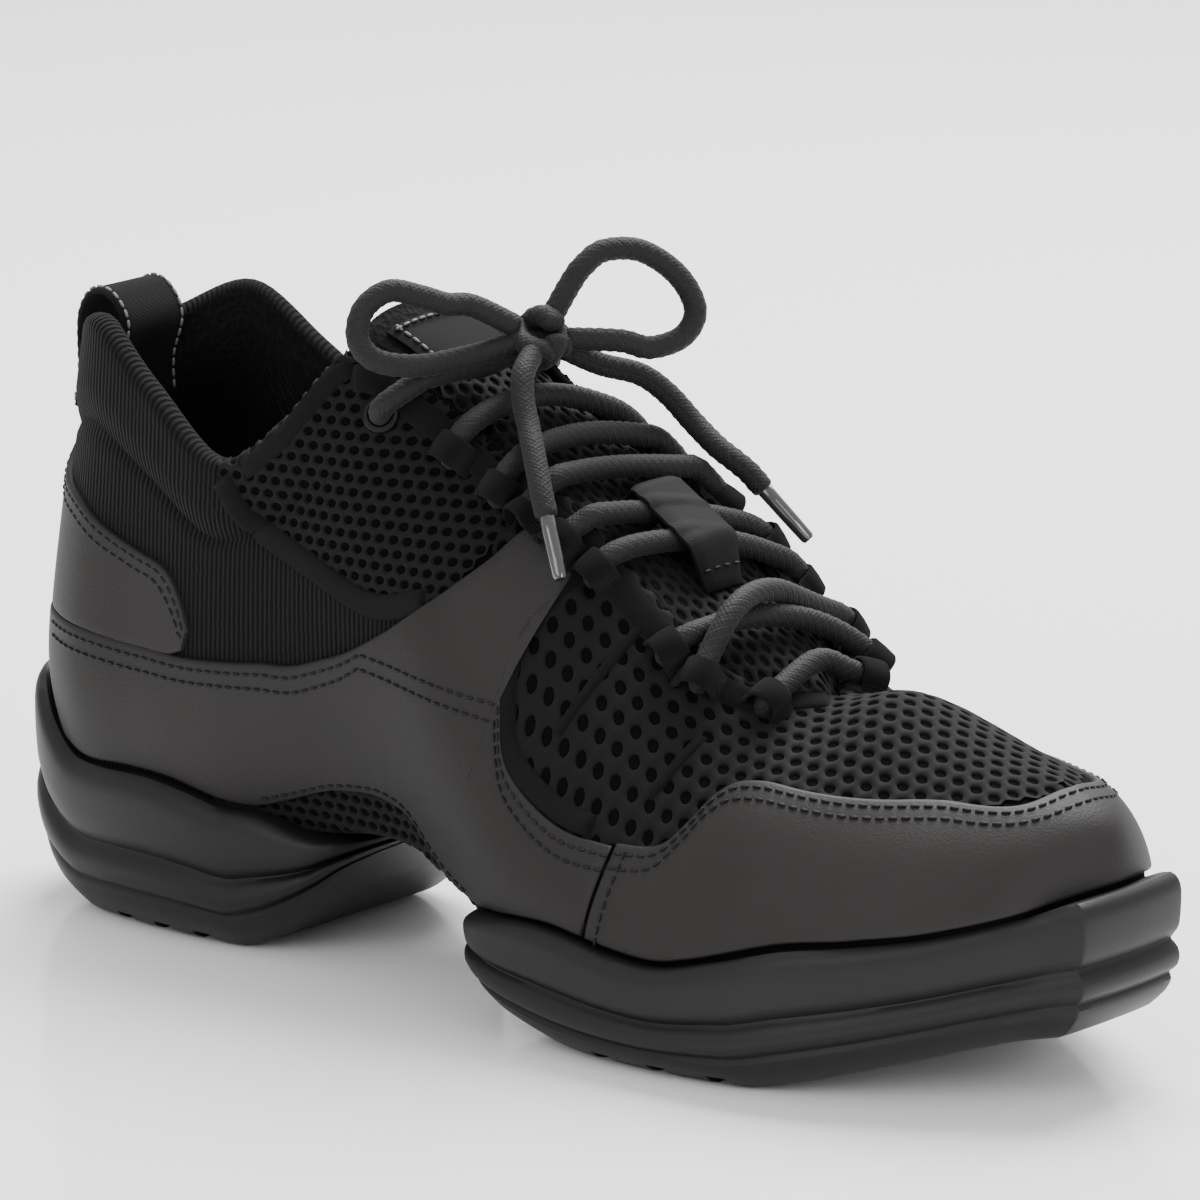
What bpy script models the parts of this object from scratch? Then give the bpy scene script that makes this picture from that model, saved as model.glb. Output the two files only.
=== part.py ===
# A dance sneaker for the right foot, with a split sole: one rubber sole unit under the heel, one under
# the forefoot, and a mesh arch between them. Metres, +Z up, +X to the toe, +Y to the shoe's left.
# The last is one function of two numbers: u runs from the heel's back round a side to the toe, and
# w from the centre of the bottom (-1) by the feather edge (0) up to the top line or the ridge (1).
# Every piece of the upper is a patch of that function at its own depth.

import math

import bmesh
import bpy
import numpy as np
from mathutils import Vector
from mathutils.bvhtree import BVHTree

# Driving sizes of the last and the shoe
LENGTH = 0.270
BALL_WIDTH = 0.092
HEEL_WIDTH = 0.062
INSTEP_HEIGHT = 0.124

# Walls, clearances and what is sewn or moulded on
GAP = 0.0003
WALL = 0.0020
COLLAR_PAD = 0.0065
OVERLAY = 0.0012
LASTING_MARGIN = 0.012
INSOLE_THICKNESS = 0.0035
TONGUE_THICKNESS = 0.0050
TONGUE_UNDERLAP = 0.30
TREAD_GROOVE_WIDTH = 0.0045
TREAD_GROOVE_DEPTH = 0.0022
LACE_DIAMETER = 0.0046
EYELET_RADIUS = 0.0038
EYELET_HOLE_RADIUS = 0.0019
EYELET_RING_HEIGHT = 0.0010
LOOP_WIDTH = 0.018
LOOP_THICKNESS = 0.0014
LOOP_RISE = 0.0115
KEEPER_WIDTH = 0.011
KEEPER_THICKNESS = 0.0012

# Sections of the last, heel to toe. x is a share of LENGTH, y of the half width there, z of
# INSTEP_HEIGHT. ball says how far the section's width follows the ball rather than the heel.
# crown is the y of the top's middle, and far narrows or widens the medial side.
SECTION_COLUMNS = (
    "foot_x", "foot_y", "foot_z", "low_x", "low_y", "low_z",
    "high_x", "high_y", "high_z", "top_x", "top_y", "top_z", "ball", "crown", "far",
)
SECTIONS = {
    "back":         (0.025, .00, .185, 0.018, .00, .403, 0.032, .00, .677, 0.048, .00, .903, 0.0, .00, 1.00),
    "back_corner":  (0.050, .51, .185, 0.041, .56, .403, 0.052, .50, .685, 0.066, .42, .935, 0.0, .00, 1.00),
    "heel_quarter": (0.102, .83, .177, 0.098, .93, .403, 0.102, .82, .710, 0.109, .77, .976, 0.0, .00, 1.00),
    "ear":          (0.169, .90, .177, 0.169, 1.0, .387, 0.169, .94, .661, 0.169, .89, .887, 0.0, .00, 1.00),
    "dip":          (0.241, .90, .185, 0.241, 1.0, .371, 0.241, .99, .597, 0.241, .94, .790, .05, .00, 1.00),
    "collar":       (0.303, .80, .210, 0.303, .97, .379, 0.300, .96, .629, 0.296, .85, .855, .10, .00, 1.00),
    "instep_top":   (0.363, .78, .234, 0.363, .93, .395, 0.359, .93, .694, 0.352, .63, 1.00, .16, .00, .98),
    "waist":        (0.422, .77, .234, 0.422, .91, .403, 0.419, .88, .661, 0.411, .50, .944, .35, .03, .96),
    "arch_front":   (0.485, .80, .194, 0.485, .92, .355, 0.482, .83, .597, 0.474, .42, .863, .70, .05, .93),
    "strap":        (0.555, .83, .137, 0.555, .95, .282, 0.552, .74, .548, 0.541, .39, .786, 1.0, .07, .92),
    "joint":        (0.629, .91, .105, 0.629, 1.0, .242, 0.626, .76, .468, 0.615, .41, .661, 1.0, .09, .93),
    "ball":         (0.700, .93, .097, 0.700, 1.0, .226, 0.696, .74, .419, 0.678, .37, .565, 1.0, .10, .96),
    "throat_end":   (.770, .89, .105, .774, .95, .242, .759, .67, .430, .726, .00, .528, 1.0, .09, .97),
    "vamp":         (.837, .78, .121, .841, .84, .266, .818, .58, .430, .778, .00, .550, 1.0, .09, .96),
    "toe_box":      (.894, .62, .145, .901, .66, .300, .876, .45, .430, .829, .00, .518, 1.0, .08, .96),
    "toe_corner":   (.941, .40, .165, .950, .43, .315, .928, .29, .430, .878, .00, .484, 1.0, .06, .98),
    "toe":          (.967, .00, .173, .978, .00, .306, .966, .00, .411, .926, .00, .464, 1.0, .03, 1.00),
}
ROW = {name: number for number, name in enumerate(SECTIONS)}
THROAT_END = ROW["throat_end"]
TOE = ROW["toe"]

# Underside of the last and its middle line: x as a share of LENGTH, z of INSTEP_HEIGHT
UNDERSIDE = (
    (0.021, .161), (0.117, .153), (0.245, .161), (0.314, .194), (0.373, .222), (0.422, .226),
    (0.482, .185), (0.541, .133), (0.590, .101),
    (0.698, .085), (0.777, .093), (0.856, .113), (0.925, .140), (0.974, .150),
)
# Crown of the instep over the throat, which the tongue follows, by section row and share of height
CROWN = (
    ("instep_top", 1.06), ("waist", .985), ("arch_front", .895), ("strap", .790), ("joint", .685),
    ("ball", .600), ("throat_end", .532),
)

# Outlines of the two sole units from back to front: x is a share of LENGTH, near and far are shares
# of the half width (of the heel or the ball) that the unit is named for, measured over the lip
HEEL_PLAN = (
    (0.000, .00, .00), (0.009, .37, .37), (0.033, .70, .70), (0.073, .94, .94), (0.128, 1.08, 1.07),
    (0.192, 1.14, 1.12), (0.255, 1.13, 1.09), (0.307, 1.06, 1.00), (0.341, .93, .87), (0.359, .62, .58),
    (0.366, .00, .00),
)
FOREFOOT_PLAN = (
    (.486, .00, .00), (.490, .45, .38), (.501, .79, .66), (.530, .97, .81), (.590, 1.07, .93),
    (.659, 1.11, 1.00), (.722, 1.10, 1.03), (.785, 1.05, 1.00), (.841, .94, .90), (.892, .77, .74),
    (.935, .59, .55), (.966, .44, .40), (.991, .375, .325), (.997, .32, .28), (1.000, .00, .00),
)
# Underside and lip of each unit: x as a share of LENGTH, z of INSTEP_HEIGHT
HEEL_TREAD = (
    (0.000, .100), (0.016, .067), (0.043, .037), (0.073, .014), (0.105, .000), (0.256, .000),
    (0.278, .017), (0.300, .048), (0.330, .105), (0.352, .160), (0.366, .190),
)
HEEL_LIP = (
    (0.000, .380), (0.032, .370), (0.064, .310), (0.101, .264), (0.181, .264), (0.219, .254),
    (0.255, .238), (0.285, .236), (0.329, .212), (0.366, .208),
)
FOREFOOT_TREAD = (
    (.486, .130), (.505, .082), (.530, .050), (.563, .024), (.604, .006), (.641, .000),
    (.770, .000), (.805, .016), (.845, .040), (.885, .065), (.926, .090), (.966, .108), (1.00, .118),
)
FOREFOOT_LIP = (
    (.486, .160), (.510, .176), (.545, .188), (.590, .200), (.626, .196), (.659, .184),
    (.708, .178), (.759, .204), (.807, .234), (.856, .250), (.905, .270), (.955, .302),
    (.985, .328), (1.00, .332),
)
# Side of a sole unit from the tread up: share of the side's height, and depth in from the outline
SOLE_SIDE = (
    ("tread_edge", .00, .0080), ("edge_round", .08, .0042), ("foot", .18, .0018),
    ("lower_groove", .27, .0015), ("lower_rib", .35, .0002), ("rib_top", .44, .0003),
    ("upper_groove", .51, .0017), ("groove_top", .58, .0015), ("band", .67, .0002),
    ("band_top", .86, .0000), ("lip_round", .96, .0008), ("lip", 1.0, .0022),
)


def half_width(ball):
    """Half width of the last, between the heel's and the ball's."""
    return (HEEL_WIDTH + (BALL_WIDTH - HEEL_WIDTH) * ball) / 2


def section_points():
    """The four points of every section, in metres, as an array of rows, points and axes."""
    rows = []
    for values in SECTIONS.values():
        row = dict(zip(SECTION_COLUMNS, values))
        half = half_width(row["ball"])
        rows.append([
            (row[p + "_x"] * LENGTH, row[p + "_y"] * half, row[p + "_z"] * INSTEP_HEIGHT)
            for p in ("foot", "low", "high", "top")
        ])
    return np.array(rows)


POINTS = section_points()
CROWN_Y = np.array([values[-2] * half_width(values[-3]) for values in SECTIONS.values()])
FAR_SHARE = np.array([values[-1] for values in SECTIONS.values()])


def spline(values, t):
    """Catmull-Rom curve through rows of values at t, with one extra row at each end."""
    k = min(max(int(math.floor(t)), 0), len(values) - 4)
    f = t - k
    a, b, c, d = values[k:k + 4]
    return 0.5 * (2 * b + (c - a) * f + (2 * a - 5 * b + 4 * c - d) * f * f + (3 * b - a - 3 * c + d) * f ** 3)


def mirrored(values, odd):
    """Rows with their neighbours across the middle plane added at both ends."""
    sign = np.array([-1.0 if o else 1.0 for o in odd])
    return np.vstack([values[1:2] * sign, values, values[-2:-1] * sign])


def read_line(line, x):
    """Height of a line of (x share, z share) rows at x, rounded between its rows."""
    xs = [p[0] * LENGTH for p in line]
    zs = np.array([[p[1] * INSTEP_HEIGHT] for p in line])
    x = min(max(x, xs[0]), xs[-1])
    k = max(i for i in range(len(xs) - 1) if xs[i] <= x)
    padded = np.vstack([2 * zs[:1] - zs[1:2], zs, 2 * zs[-1:] - zs[-2:-1]])
    return float(spline(padded, k + (x - xs[k]) / (xs[k + 1] - xs[k]))[0])


def smooth_step(low, high, value):
    t = min(max((value - low) / (high - low), 0.0), 1.0)
    return t * t * (3 - 2 * t)


def column(u):
    """The four points of the near side at u, with y measured out from the middle."""
    return np.array([
        spline(mirrored(POINTS[:, p], (False, True, False)), u) for p in range(4)
    ])


def crown_y(u):
    return float(spline(np.concatenate([CROWN_Y[1:2], CROWN_Y, CROWN_Y[-2:-1]])[:, None], u)[0])


def far_share(u):
    return float(spline(np.concatenate([FAR_SHARE[1:2], FAR_SHARE, FAR_SHARE[-2:-1]])[:, None], u)[0])


def last(side, u, w):
    """Point of the last. side is -1 for the lateral side and 1 for the medial one."""
    foot, low, high, top = column(u)
    widen = 1.0 if side < 0 else far_share(u)
    shift = crown_y(u)
    closed = smooth_step(THROAT_END - 1, THROAT_END, u)
    if u >= THROAT_END:
        top[1] = 0.0
    if w >= 0:
        beyond_open = 2 * top - high
        beyond_closed = high * (1, -1, 1)
        ends = beyond_open + (beyond_closed - beyond_open) * closed
        point = spline(np.array([2 * foot - low, foot, low, high, top, ends]), 3 * w)
        lift = smooth_step(0.35, 1.0, w)
    else:
        t = -w
        share = smooth_step(0.55, 1.0, abs(2 * foot[0] / LENGTH - 1)) * 0.16
        middle = foot[0] + (0.5 * LENGTH - foot[0]) * share
        point = foot + (np.array([middle, 0.0, foot[2]]) - foot) * t
        drop = foot[2] - read_line(UNDERSIDE, point[0])
        point[2] = foot[2] - drop * (1 - (1 - min(t / 0.35, 1.0)) ** 2)
        lift = 0.0
    y = side * point[1] * (1 + (widen - 1) * (1 - lift)) + shift * lift
    return np.array([point[0], y, point[2]])


def on_middle(u, w):
    """True where the two sides of the last meet."""
    return u <= 0 or u >= TOE or w <= -1 or (w >= 1 and u >= THROAT_END)


def normal(side, u, w):
    """Unit vector out of the last."""
    if on_middle(u, w):
        side = -1
    step_u = 0.02
    step_w = 0.01
    u0, u1 = max(u - step_u, 0.0), min(u + step_u, float(TOE))
    w0, w1 = max(w - step_w, -1.0), min(w + step_w, 1.0)
    along = last(side, u1, w) - last(side, u0, w)
    up = last(side, u, w1) - last(side, u, w0)
    out = np.cross(along, up) * -side
    if on_middle(u, w):
        out[1] = 0.0
    if w <= -1:
        out = np.array([0.0, 0.0, -1.0])
    return out / np.linalg.norm(out)


def at_depth(side, u, w, depth):
    """Point that lies depth outside the last, or inside it where depth is negative."""
    return last(side, u, w) + normal(side, u, w) * depth


def wall(u, w):
    """Thickness of the upper: one layer, and a padded roll round the ankle's top line."""
    ankle = 1 - smooth_step(ROW["collar"], ROW["waist"], u)
    roll = smooth_step(0.70, 0.90, w) * (1 - 0.45 * smooth_step(0.93, 1.0, w))
    return WALL + (COLLAR_PAD - WALL) * ankle * roll


def find_w(side, u, height):
    """The w at which the last's side passes a height, by halving."""
    low, high = 0.0, 1.0
    for _ in range(30):
        middle = (low + high) / 2
        if last(side, u, middle)[2] < height:
            low = middle
        else:
            high = middle
    return (low + high) / 2


def find_uw(side, x, z):
    """The u and w of the last's side point with this x and z."""
    u = 8.0
    w = 0.5
    for _ in range(60):
        point = last(side, u, w)
        du = (last(side, u + 0.01, w) - point) / 0.01
        if w < 0.98:
            dw = (last(side, u, w + 0.01) - point) / 0.01
        else:
            dw = (point - last(side, u, w - 0.01)) / 0.01
        matrix = np.array([[du[0], dw[0]], [du[2], dw[2]]])
        move = np.linalg.solve(matrix, np.array([x - point[0], z - point[2]]))
        u = min(max(u + 0.6 * float(np.clip(move[0], -1.5, 1.5)), 0.3), TOE - 0.3)
        w = min(max(w + 0.6 * float(np.clip(move[1], -0.3, 0.3)), 0.0), 1.0)
    return u, w


# Scene, collections and materials

for old in list(bpy.data.objects):
    bpy.data.objects.remove(old, do_unlink=True)

PARTS = bpy.data.collections.new("dance_sneaker")
CUTTERS = bpy.data.collections.new("cutters")
bpy.context.scene.collection.children.link(PARTS)
bpy.context.scene.collection.children.link(CUTTERS)

FINISHES = {
    "mesh_textile": ((0.014, 0.014, 0.015), 0.85, 0.0),
    "knit_textile": ((0.012, 0.012, 0.013), 0.90, 0.0),
    "leather": ((0.030, 0.029, 0.028), 0.55, 0.0),
    "sole_rubber": ((0.024, 0.024, 0.024), 0.50, 0.0),
    "lace": ((0.013, 0.013, 0.013), 0.85, 0.0),
    "webbing": ((0.018, 0.018, 0.019), 0.80, 0.0),
    "eyelet_plastic": ((0.020, 0.020, 0.021), 0.35, 0.0),
    "clear_tip": ((0.150, 0.150, 0.150), 0.20, 0.0),
    "insole_foam": ((0.020, 0.020, 0.021), 0.90, 0.0),
}


def add_material(target, finish):
    """Give an object its own Principled material."""
    colour, roughness, metallic = FINISHES[finish]
    material = bpy.data.materials.new(target.name + "_" + finish)
    material.use_nodes = True
    shader = material.node_tree.nodes["Principled BSDF"]
    shader.inputs["Base Color"].default_value = (*colour, 1.0)
    shader.inputs["Roughness"].default_value = roughness
    shader.inputs["Metallic"].default_value = metallic
    target.data.materials.clear()
    target.data.materials.append(material)


def add_solid(name, faces, finish, collection=PARTS):
    """Closed body from faces given by their corners. Faces that coincide are inner walls and go."""
    corners = {}
    loops = {}
    for face in faces:
        loop = []
        for point in face:
            key = tuple(round(float(c) * 1e6) for c in point)
            corners.setdefault(key, len(corners))
            if corners[key] not in loop:
                loop.append(corners[key])
        if len(loop) >= 3:
            loops.setdefault(frozenset(loop), []).append(loop)
    mesh = bpy.data.meshes.new(name)
    body = bmesh.new()
    vertices = [body.verts.new([c * 1e-6 for c in key]) for key in corners]
    for same in loops.values():
        if len(same) == 1:
            body.faces.new([vertices[i] for i in same[0]])
    loose = [v for v in body.verts if not v.link_faces]
    bmesh.ops.delete(body, geom=loose, context="VERTS")
    bmesh.ops.triangulate(body, faces=body.faces)
    bmesh.ops.recalc_face_normals(body, faces=body.faces)
    if body.calc_volume(signed=True) < 0:
        bmesh.ops.reverse_faces(body, faces=body.faces)
    body.to_mesh(mesh)
    body.free()
    made = bpy.data.objects.new(name, mesh)
    collection.objects.link(made)
    mesh.shade_smooth()
    mesh.set_sharp_from_angle(angle=math.radians(40))
    if collection is PARTS:
        add_material(made, finish)
    return made


def sheet_faces(outer, inner, round_trip=False):
    """Faces of a sheet with two sides, given as rows of columns, with its edges closed."""
    columns = len(outer)
    rows = len(outer[0])
    faces = []
    for i in range(columns if round_trip else columns - 1):
        j = (i + 1) % columns
        for k in range(rows - 1):
            faces.append((outer[i][k], outer[j][k], outer[j][k + 1], outer[i][k + 1]))
            faces.append((inner[i][k], inner[i][k + 1], inner[j][k + 1], inner[j][k]))
        faces.append((outer[i][0], inner[i][0], inner[j][0], outer[j][0]))
        faces.append((outer[i][-1], outer[j][-1], inner[j][-1], inner[i][-1]))
    if not round_trip:
        for i in (0, -1):
            for k in range(rows - 1):
                faces.append((outer[i][k], outer[i][k + 1], inner[i][k + 1], inner[i][k]))
    return faces


def body_faces(rings):
    """Faces of a solid made of rings stacked on each other, its first and last rings closed."""
    faces = []
    for lower, upper in zip(rings, rings[1:]):
        for i in range(len(lower)):
            j = (i + 1) % len(lower)
            faces.append((lower[i], lower[j], upper[j], upper[i]))
    return faces


def cut(target, cutter, operation="DIFFERENCE"):
    """Apply a Boolean with another object, and remove that object."""
    modifier = target.modifiers.new(operation.lower(), "BOOLEAN")
    modifier.object = cutter
    modifier.operation = operation
    modifier.solver = "EXACT"
    bpy.context.view_layer.update()
    evaluated = target.evaluated_get(bpy.context.evaluated_depsgraph_get())
    result = bpy.data.meshes.new_from_object(evaluated)
    target.modifiers.clear()
    materials = list(target.data.materials)
    target.data = result
    target.data.materials.clear()
    for material in materials:
        target.data.materials.append(material)
    bpy.data.objects.remove(cutter, do_unlink=True)
    clean(target)


def clean(target):
    """Weld points that a Boolean left almost on each other, and keep the faces pointing out."""
    body = bmesh.new()
    body.from_mesh(target.data)
    bmesh.ops.remove_doubles(body, verts=body.verts, dist=1e-6)
    bmesh.ops.triangulate(body, faces=body.faces)
    body.to_mesh(target.data)
    body.free()


def add_block(name, size, place):
    """A box cutter, given its size and its middle."""
    bpy.ops.mesh.primitive_cube_add(size=1.0, location=place)
    block = bpy.context.active_object
    block.name = name
    block.scale = size
    bpy.ops.object.transform_apply(location=False, rotation=False, scale=True)
    for holder in list(block.users_collection):
        holder.objects.unlink(block)
    CUTTERS.objects.link(block)
    block.hide_render = True
    block.display_type = "WIRE"
    return block


# Neighbouring pieces have facets of different sizes, so a sheet is settled on the faceted piece that it
# lies on: its points move out until GAP is left under the middle of every facet too.

SETTLE_CLEAR = GAP + 0.00006
SETTLE_PASSES = 7
SETTLE_REACH = 0.003


def surface(*names):
    """Search tree over finished pieces."""
    vertices = []
    triangles = []
    bpy.context.view_layer.update()
    for name in names:
        evaluated = bpy.data.objects[name].evaluated_get(bpy.context.evaluated_depsgraph_get())
        mesh = bpy.data.meshes.new_from_object(evaluated)
        mesh.calc_loop_triangles()
        start = len(vertices)
        vertices += [v.co.copy() for v in mesh.vertices]
        triangles += [[start + i for i in t.vertices] for t in mesh.loop_triangles]
        bpy.data.meshes.remove(mesh)
    return BVHTree.FromPolygons(vertices, triangles)


def shortfall(tree, point, clear):
    """The move that takes a point clear of a surface. No point starts more than SETTLE_REACH inside."""
    spot, out, _, distance = tree.find_nearest(Vector(point))
    outside = np.dot(np.array(point) - np.array(spot), out) >= 0 or distance > SETTLE_REACH
    missing = clear - (distance if outside else -distance)
    return np.array(out) * max(missing, 0.0)


def settle(grid, tree):
    """Move the columns and rows of a sheet's lower side off a surface."""
    grid = np.array(grid)
    shares = np.linspace(0, 1, 4)
    for _ in range(SETTLE_PASSES):
        moves = np.zeros_like(grid)
        for i in range(grid.shape[0] - 1):
            for k in range(grid.shape[1] - 1):
                corners = ((i, k), (i + 1, k), (i, k + 1), (i + 1, k + 1))
                for a in shares:
                    for b in shares:
                        weights = ((1 - a) * (1 - b), a * (1 - b), (1 - a) * b, a * b)
                        point = sum(w * grid[c] for w, c in zip(weights, corners))
                        move = shortfall(tree, point, SETTLE_CLEAR)
                        for w, c in zip(weights, corners):
                            if w > 0.05 and np.linalg.norm(move) > np.linalg.norm(moves[c]):
                                moves[c] = move
        grid += moves
    return grid


def settle_line(points, radius, tree):
    """Move the points of a cord's middle line off a surface."""
    line = np.array(points)
    for _ in range(SETTLE_PASSES):
        moves = np.zeros_like(line)
        for i in range(len(line) - 1):
            for a in np.linspace(0, 1, 5):
                move = shortfall(tree, line[i] + (line[i + 1] - line[i]) * a, radius + SETTLE_CLEAR)
                for share, k in ((1 - a, i), (a, i + 1)):
                    if share > 0.1 and np.linalg.norm(move) > np.linalg.norm(moves[k]):
                        moves[k] = move
        line += moves
    return line


# Upper: one hollow shell of mesh and knit, open at the collar and throat, and underneath where the
# sole units close it. Under the arch it is closed, because nothing else is there.

def around(steps):
    """Side and u of every column round the shoe, from the heel by the lateral side and back."""
    near = [(-1, u) for u in steps]
    far = [(1, u) for u in reversed(steps[1:-1])]
    return near + far


def underfoot(u):
    """How far in from the feather edge the upper reaches below the foot, as a share of the way."""
    foot = column(u)[0]
    margin = min(LASTING_MARGIN / max(foot[1], LASTING_MARGIN), 0.55)
    arch = smooth_step(ROW["collar"] - 0.6, ROW["collar"] - 0.1, u) * (
        1 - smooth_step(ROW["arch_front"] + 0.3, ROW["arch_front"] + 0.8, u))
    return margin + (1 - margin) * arch


def column_w(u, side_rows):
    """The w of every row of a column, from its inner edge below the foot to its top."""
    reach = underfoot(u)
    return [-reach, -reach * 0.6, -reach * 0.3, -min(reach * 0.12, 0.05)] + [
        k / side_rows for k in range(side_rows + 1)]


UPPER_U = list(np.linspace(0, THROAT_END, 19)) + list(np.linspace(THROAT_END, TOE, 7))[1:]
SIDE_ROWS = 8


def add_upper():
    outer = []
    inner = []
    for side, u in around(UPPER_U):
        rows = column_w(u, SIDE_ROWS)
        outer.append([last(side, u, w) for w in rows])
        inner.append([at_depth(side, u, w, -wall(u, w)) for w in rows])
    return add_solid("upper", sheet_faces(outer, inner, round_trip=True), "mesh_textile")


def add_last_cutter(name, depth, top_w=1.0):
    """The filled form of the last at a depth, which hollows out the soles."""
    rings = []
    for w in (-1.0, -0.6, -0.3, -0.12, -0.05, 0.0, 0.08, 0.17, 0.26, 0.37, 0.5, 0.75, top_w):
        rings.append([at_depth(side, u, w, depth) for side, u in around(UPPER_U)])
    faces = body_faces(rings)
    lid = rings[-1]
    half = len(UPPER_U) - 1
    for i in range(half):
        faces.append((lid[i], lid[i + 1], lid[(-i - 1) % len(lid)], lid[-i % len(lid)]))
    cutter = add_solid(name, faces, None, CUTTERS)
    cutter.hide_render = True
    cutter.display_type = "WIRE"
    return cutter


# Soles: each unit is a block with a ribbed side, its tread bevelled up at both ends, hollowed by the
# last, and grooved across its tread.

def plan_ring(plan, ball, steps, inset):
    """Outline of a sole unit drawn in by inset, from the back by the lateral side to the front."""
    half = half_width(ball)
    table = np.array([(x * LENGTH, near * half, far * half) for x, near, far in plan])
    padded = np.vstack([table[1:2] * (1, -1, -1), table, table[-2:-1] * (1, -1, -1)])
    middle = (table[0][0] + table[-1][0]) / 2
    shorten = 1 - 2 * inset / (table[-1][0] - table[0][0])
    sides = []
    for side, pick in ((-1, 1), (1, 2)):
        line = []
        for t in steps:
            x, y = spline(padded[:, (0, pick)], t)
            y = max(y, 0.0)
            line.append((middle + (x - middle) * shorten, side * y * (1 - inset / half)))
        sides.append(line)
    return sides[0] + list(reversed(sides[1][1:-1]))


def add_sole_unit(name, plan, ball, tread, lip, steps, grooves):
    rings = []
    for share, depth in ((0.0, 1.0), (0.0, 0.66), (0.0, 0.33)):
        ring = plan_ring(plan, ball, steps, SOLE_SIDE[0][2])
        rings.append([(x, y * (1 - depth), max(read_line(tread, x), 0.0)) for x, y in ring])
    for row, share, inset in SOLE_SIDE:
        ring = []
        for x, y in plan_ring(plan, ball, steps, inset):
            low, high = max(read_line(tread, x), 0.0), read_line(lip, x)
            ring.append((x, y, low + (high - low) * share))
        rings.append(ring)
    rings.append([(x, y * 0.5, z) for x, y, z in rings[-1]])
    rings.append([(x, 0.0, z) for x, y, z in rings[-1]])
    unit = add_solid(name, body_faces(rings), "sole_rubber")
    cut(unit, add_last_cutter(name + "_last", GAP))
    for x in grooves:
        groove = add_block(
            name + "_groove", (TREAD_GROOVE_WIDTH, BALL_WIDTH * 1.4, TREAD_GROOVE_DEPTH * 2),
            (x * LENGTH, 0.0, 0.0))
        cut(unit, groove)
    return unit


HEEL_STEPS = list(np.linspace(0, len(HEEL_PLAN) - 1, 19))
FOREFOOT_STEPS = list(np.linspace(0, len(FOREFOOT_PLAN) - 1, 25))
add_upper()
add_sole_unit("outsole_heel", HEEL_PLAN, 0.0, HEEL_TREAD, HEEL_LIP, HEEL_STEPS, (0.185,))
add_sole_unit(
    "outsole_forefoot", FOREFOOT_PLAN, 1.0, FOREFOOT_TREAD, FOREFOOT_LIP, FOREFOOT_STEPS, (0.655, 0.755))


# Insole: a foam sheet that lies inside on the turned-in edges and the arch

def add_insole():
    top = []
    bottom = []
    for side, u in around(INSOLE_U):
        edge_w = -0.10
        wall_depth = WALL + GAP
        line_low = []
        line_high = []
        for share in (1.0, 0.6, 0.25, 0.0):
            w = edge_w - (1 + edge_w) * share
            base = at_depth(side, u, w, -wall_depth)
            floor = at_depth(side, u, min(w, -0.32), -wall_depth)
            base[2] = max(base[2], floor[2])
            line_low.append(base)
            line_high.append(base + (0.0, 0.0, INSOLE_THICKNESS * (1 - 0.25 * (share == 0))))
        bottom.append(line_low)
        top.append(line_high)
    thickness = np.array(top) - np.array(bottom)
    bottom = settle(bottom + bottom[:1], surface("upper", "outsole_heel", "outsole_forefoot"))[:-1]
    for i in range(len(bottom)):
        middle = (bottom[i][0] + bottom[-i][0]) / 2
        bottom[i][0] = middle
        bottom[-i][0] = middle
    top = bottom + thickness
    return add_solid("insole", sheet_faces(top, bottom, round_trip=True), "insole_foam")


# Tongue: a padded tongue under the throat, from the vamp to above the collar

def crown_point(u):
    """Middle of the instep over the throat, between its two edges."""
    line = np.array([[share] for name, share in CROWN])
    padded = np.vstack([2 * line[:1] - line[1:2], line, 2 * line[-1:] - line[-2:-1]])
    height = float(spline(padded, u - ROW["instep_top"])[0]) * INSTEP_HEIGHT
    return np.array([last(-1, u, 1)[0], crown_y(u), height])


def across_throat(u, q, depth):
    """Point of the instep at q, from -1 under the lateral edge to 1 under the medial one."""
    marks = []
    for side, w in ((-1, 1 - TONGUE_UNDERLAP), (-1, 1 - TONGUE_UNDERLAP / 2), (-1, 1.0)):
        marks.append(at_depth(side, u, w, depth - wall(u, w)))
    marks.append(crown_point(u) + (0.0, 0.0, depth - WALL))
    for side, w in ((1, 1.0), (1, 1 - TONGUE_UNDERLAP / 2), (1, 1 - TONGUE_UNDERLAP)):
        marks.append(at_depth(side, u, w, depth - wall(u, w)))
    marks = np.array(marks)
    padded = np.vstack([2 * marks[:1] - marks[1:2], marks, 2 * marks[-1:] - marks[-2:-1]])
    return spline(padded, (q + 1) * 3)


TONGUE_SEAT = 0.0006
TONGUE_STEPS = [float(q) for q in np.linspace(-1, 1, 11)]
TONGUE_TOP_RISE = np.array([-.006 * LENGTH, 0.0, .034 * INSTEP_HEIGHT])
TONGUE_TOP_NARROWING = 0.16
TONGUE_TIP_DROP = 0.0016
TONGUE_TIP_REACH = np.array([.024 * LENGTH, 0.0, -.026 * INSTEP_HEIGHT])


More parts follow.
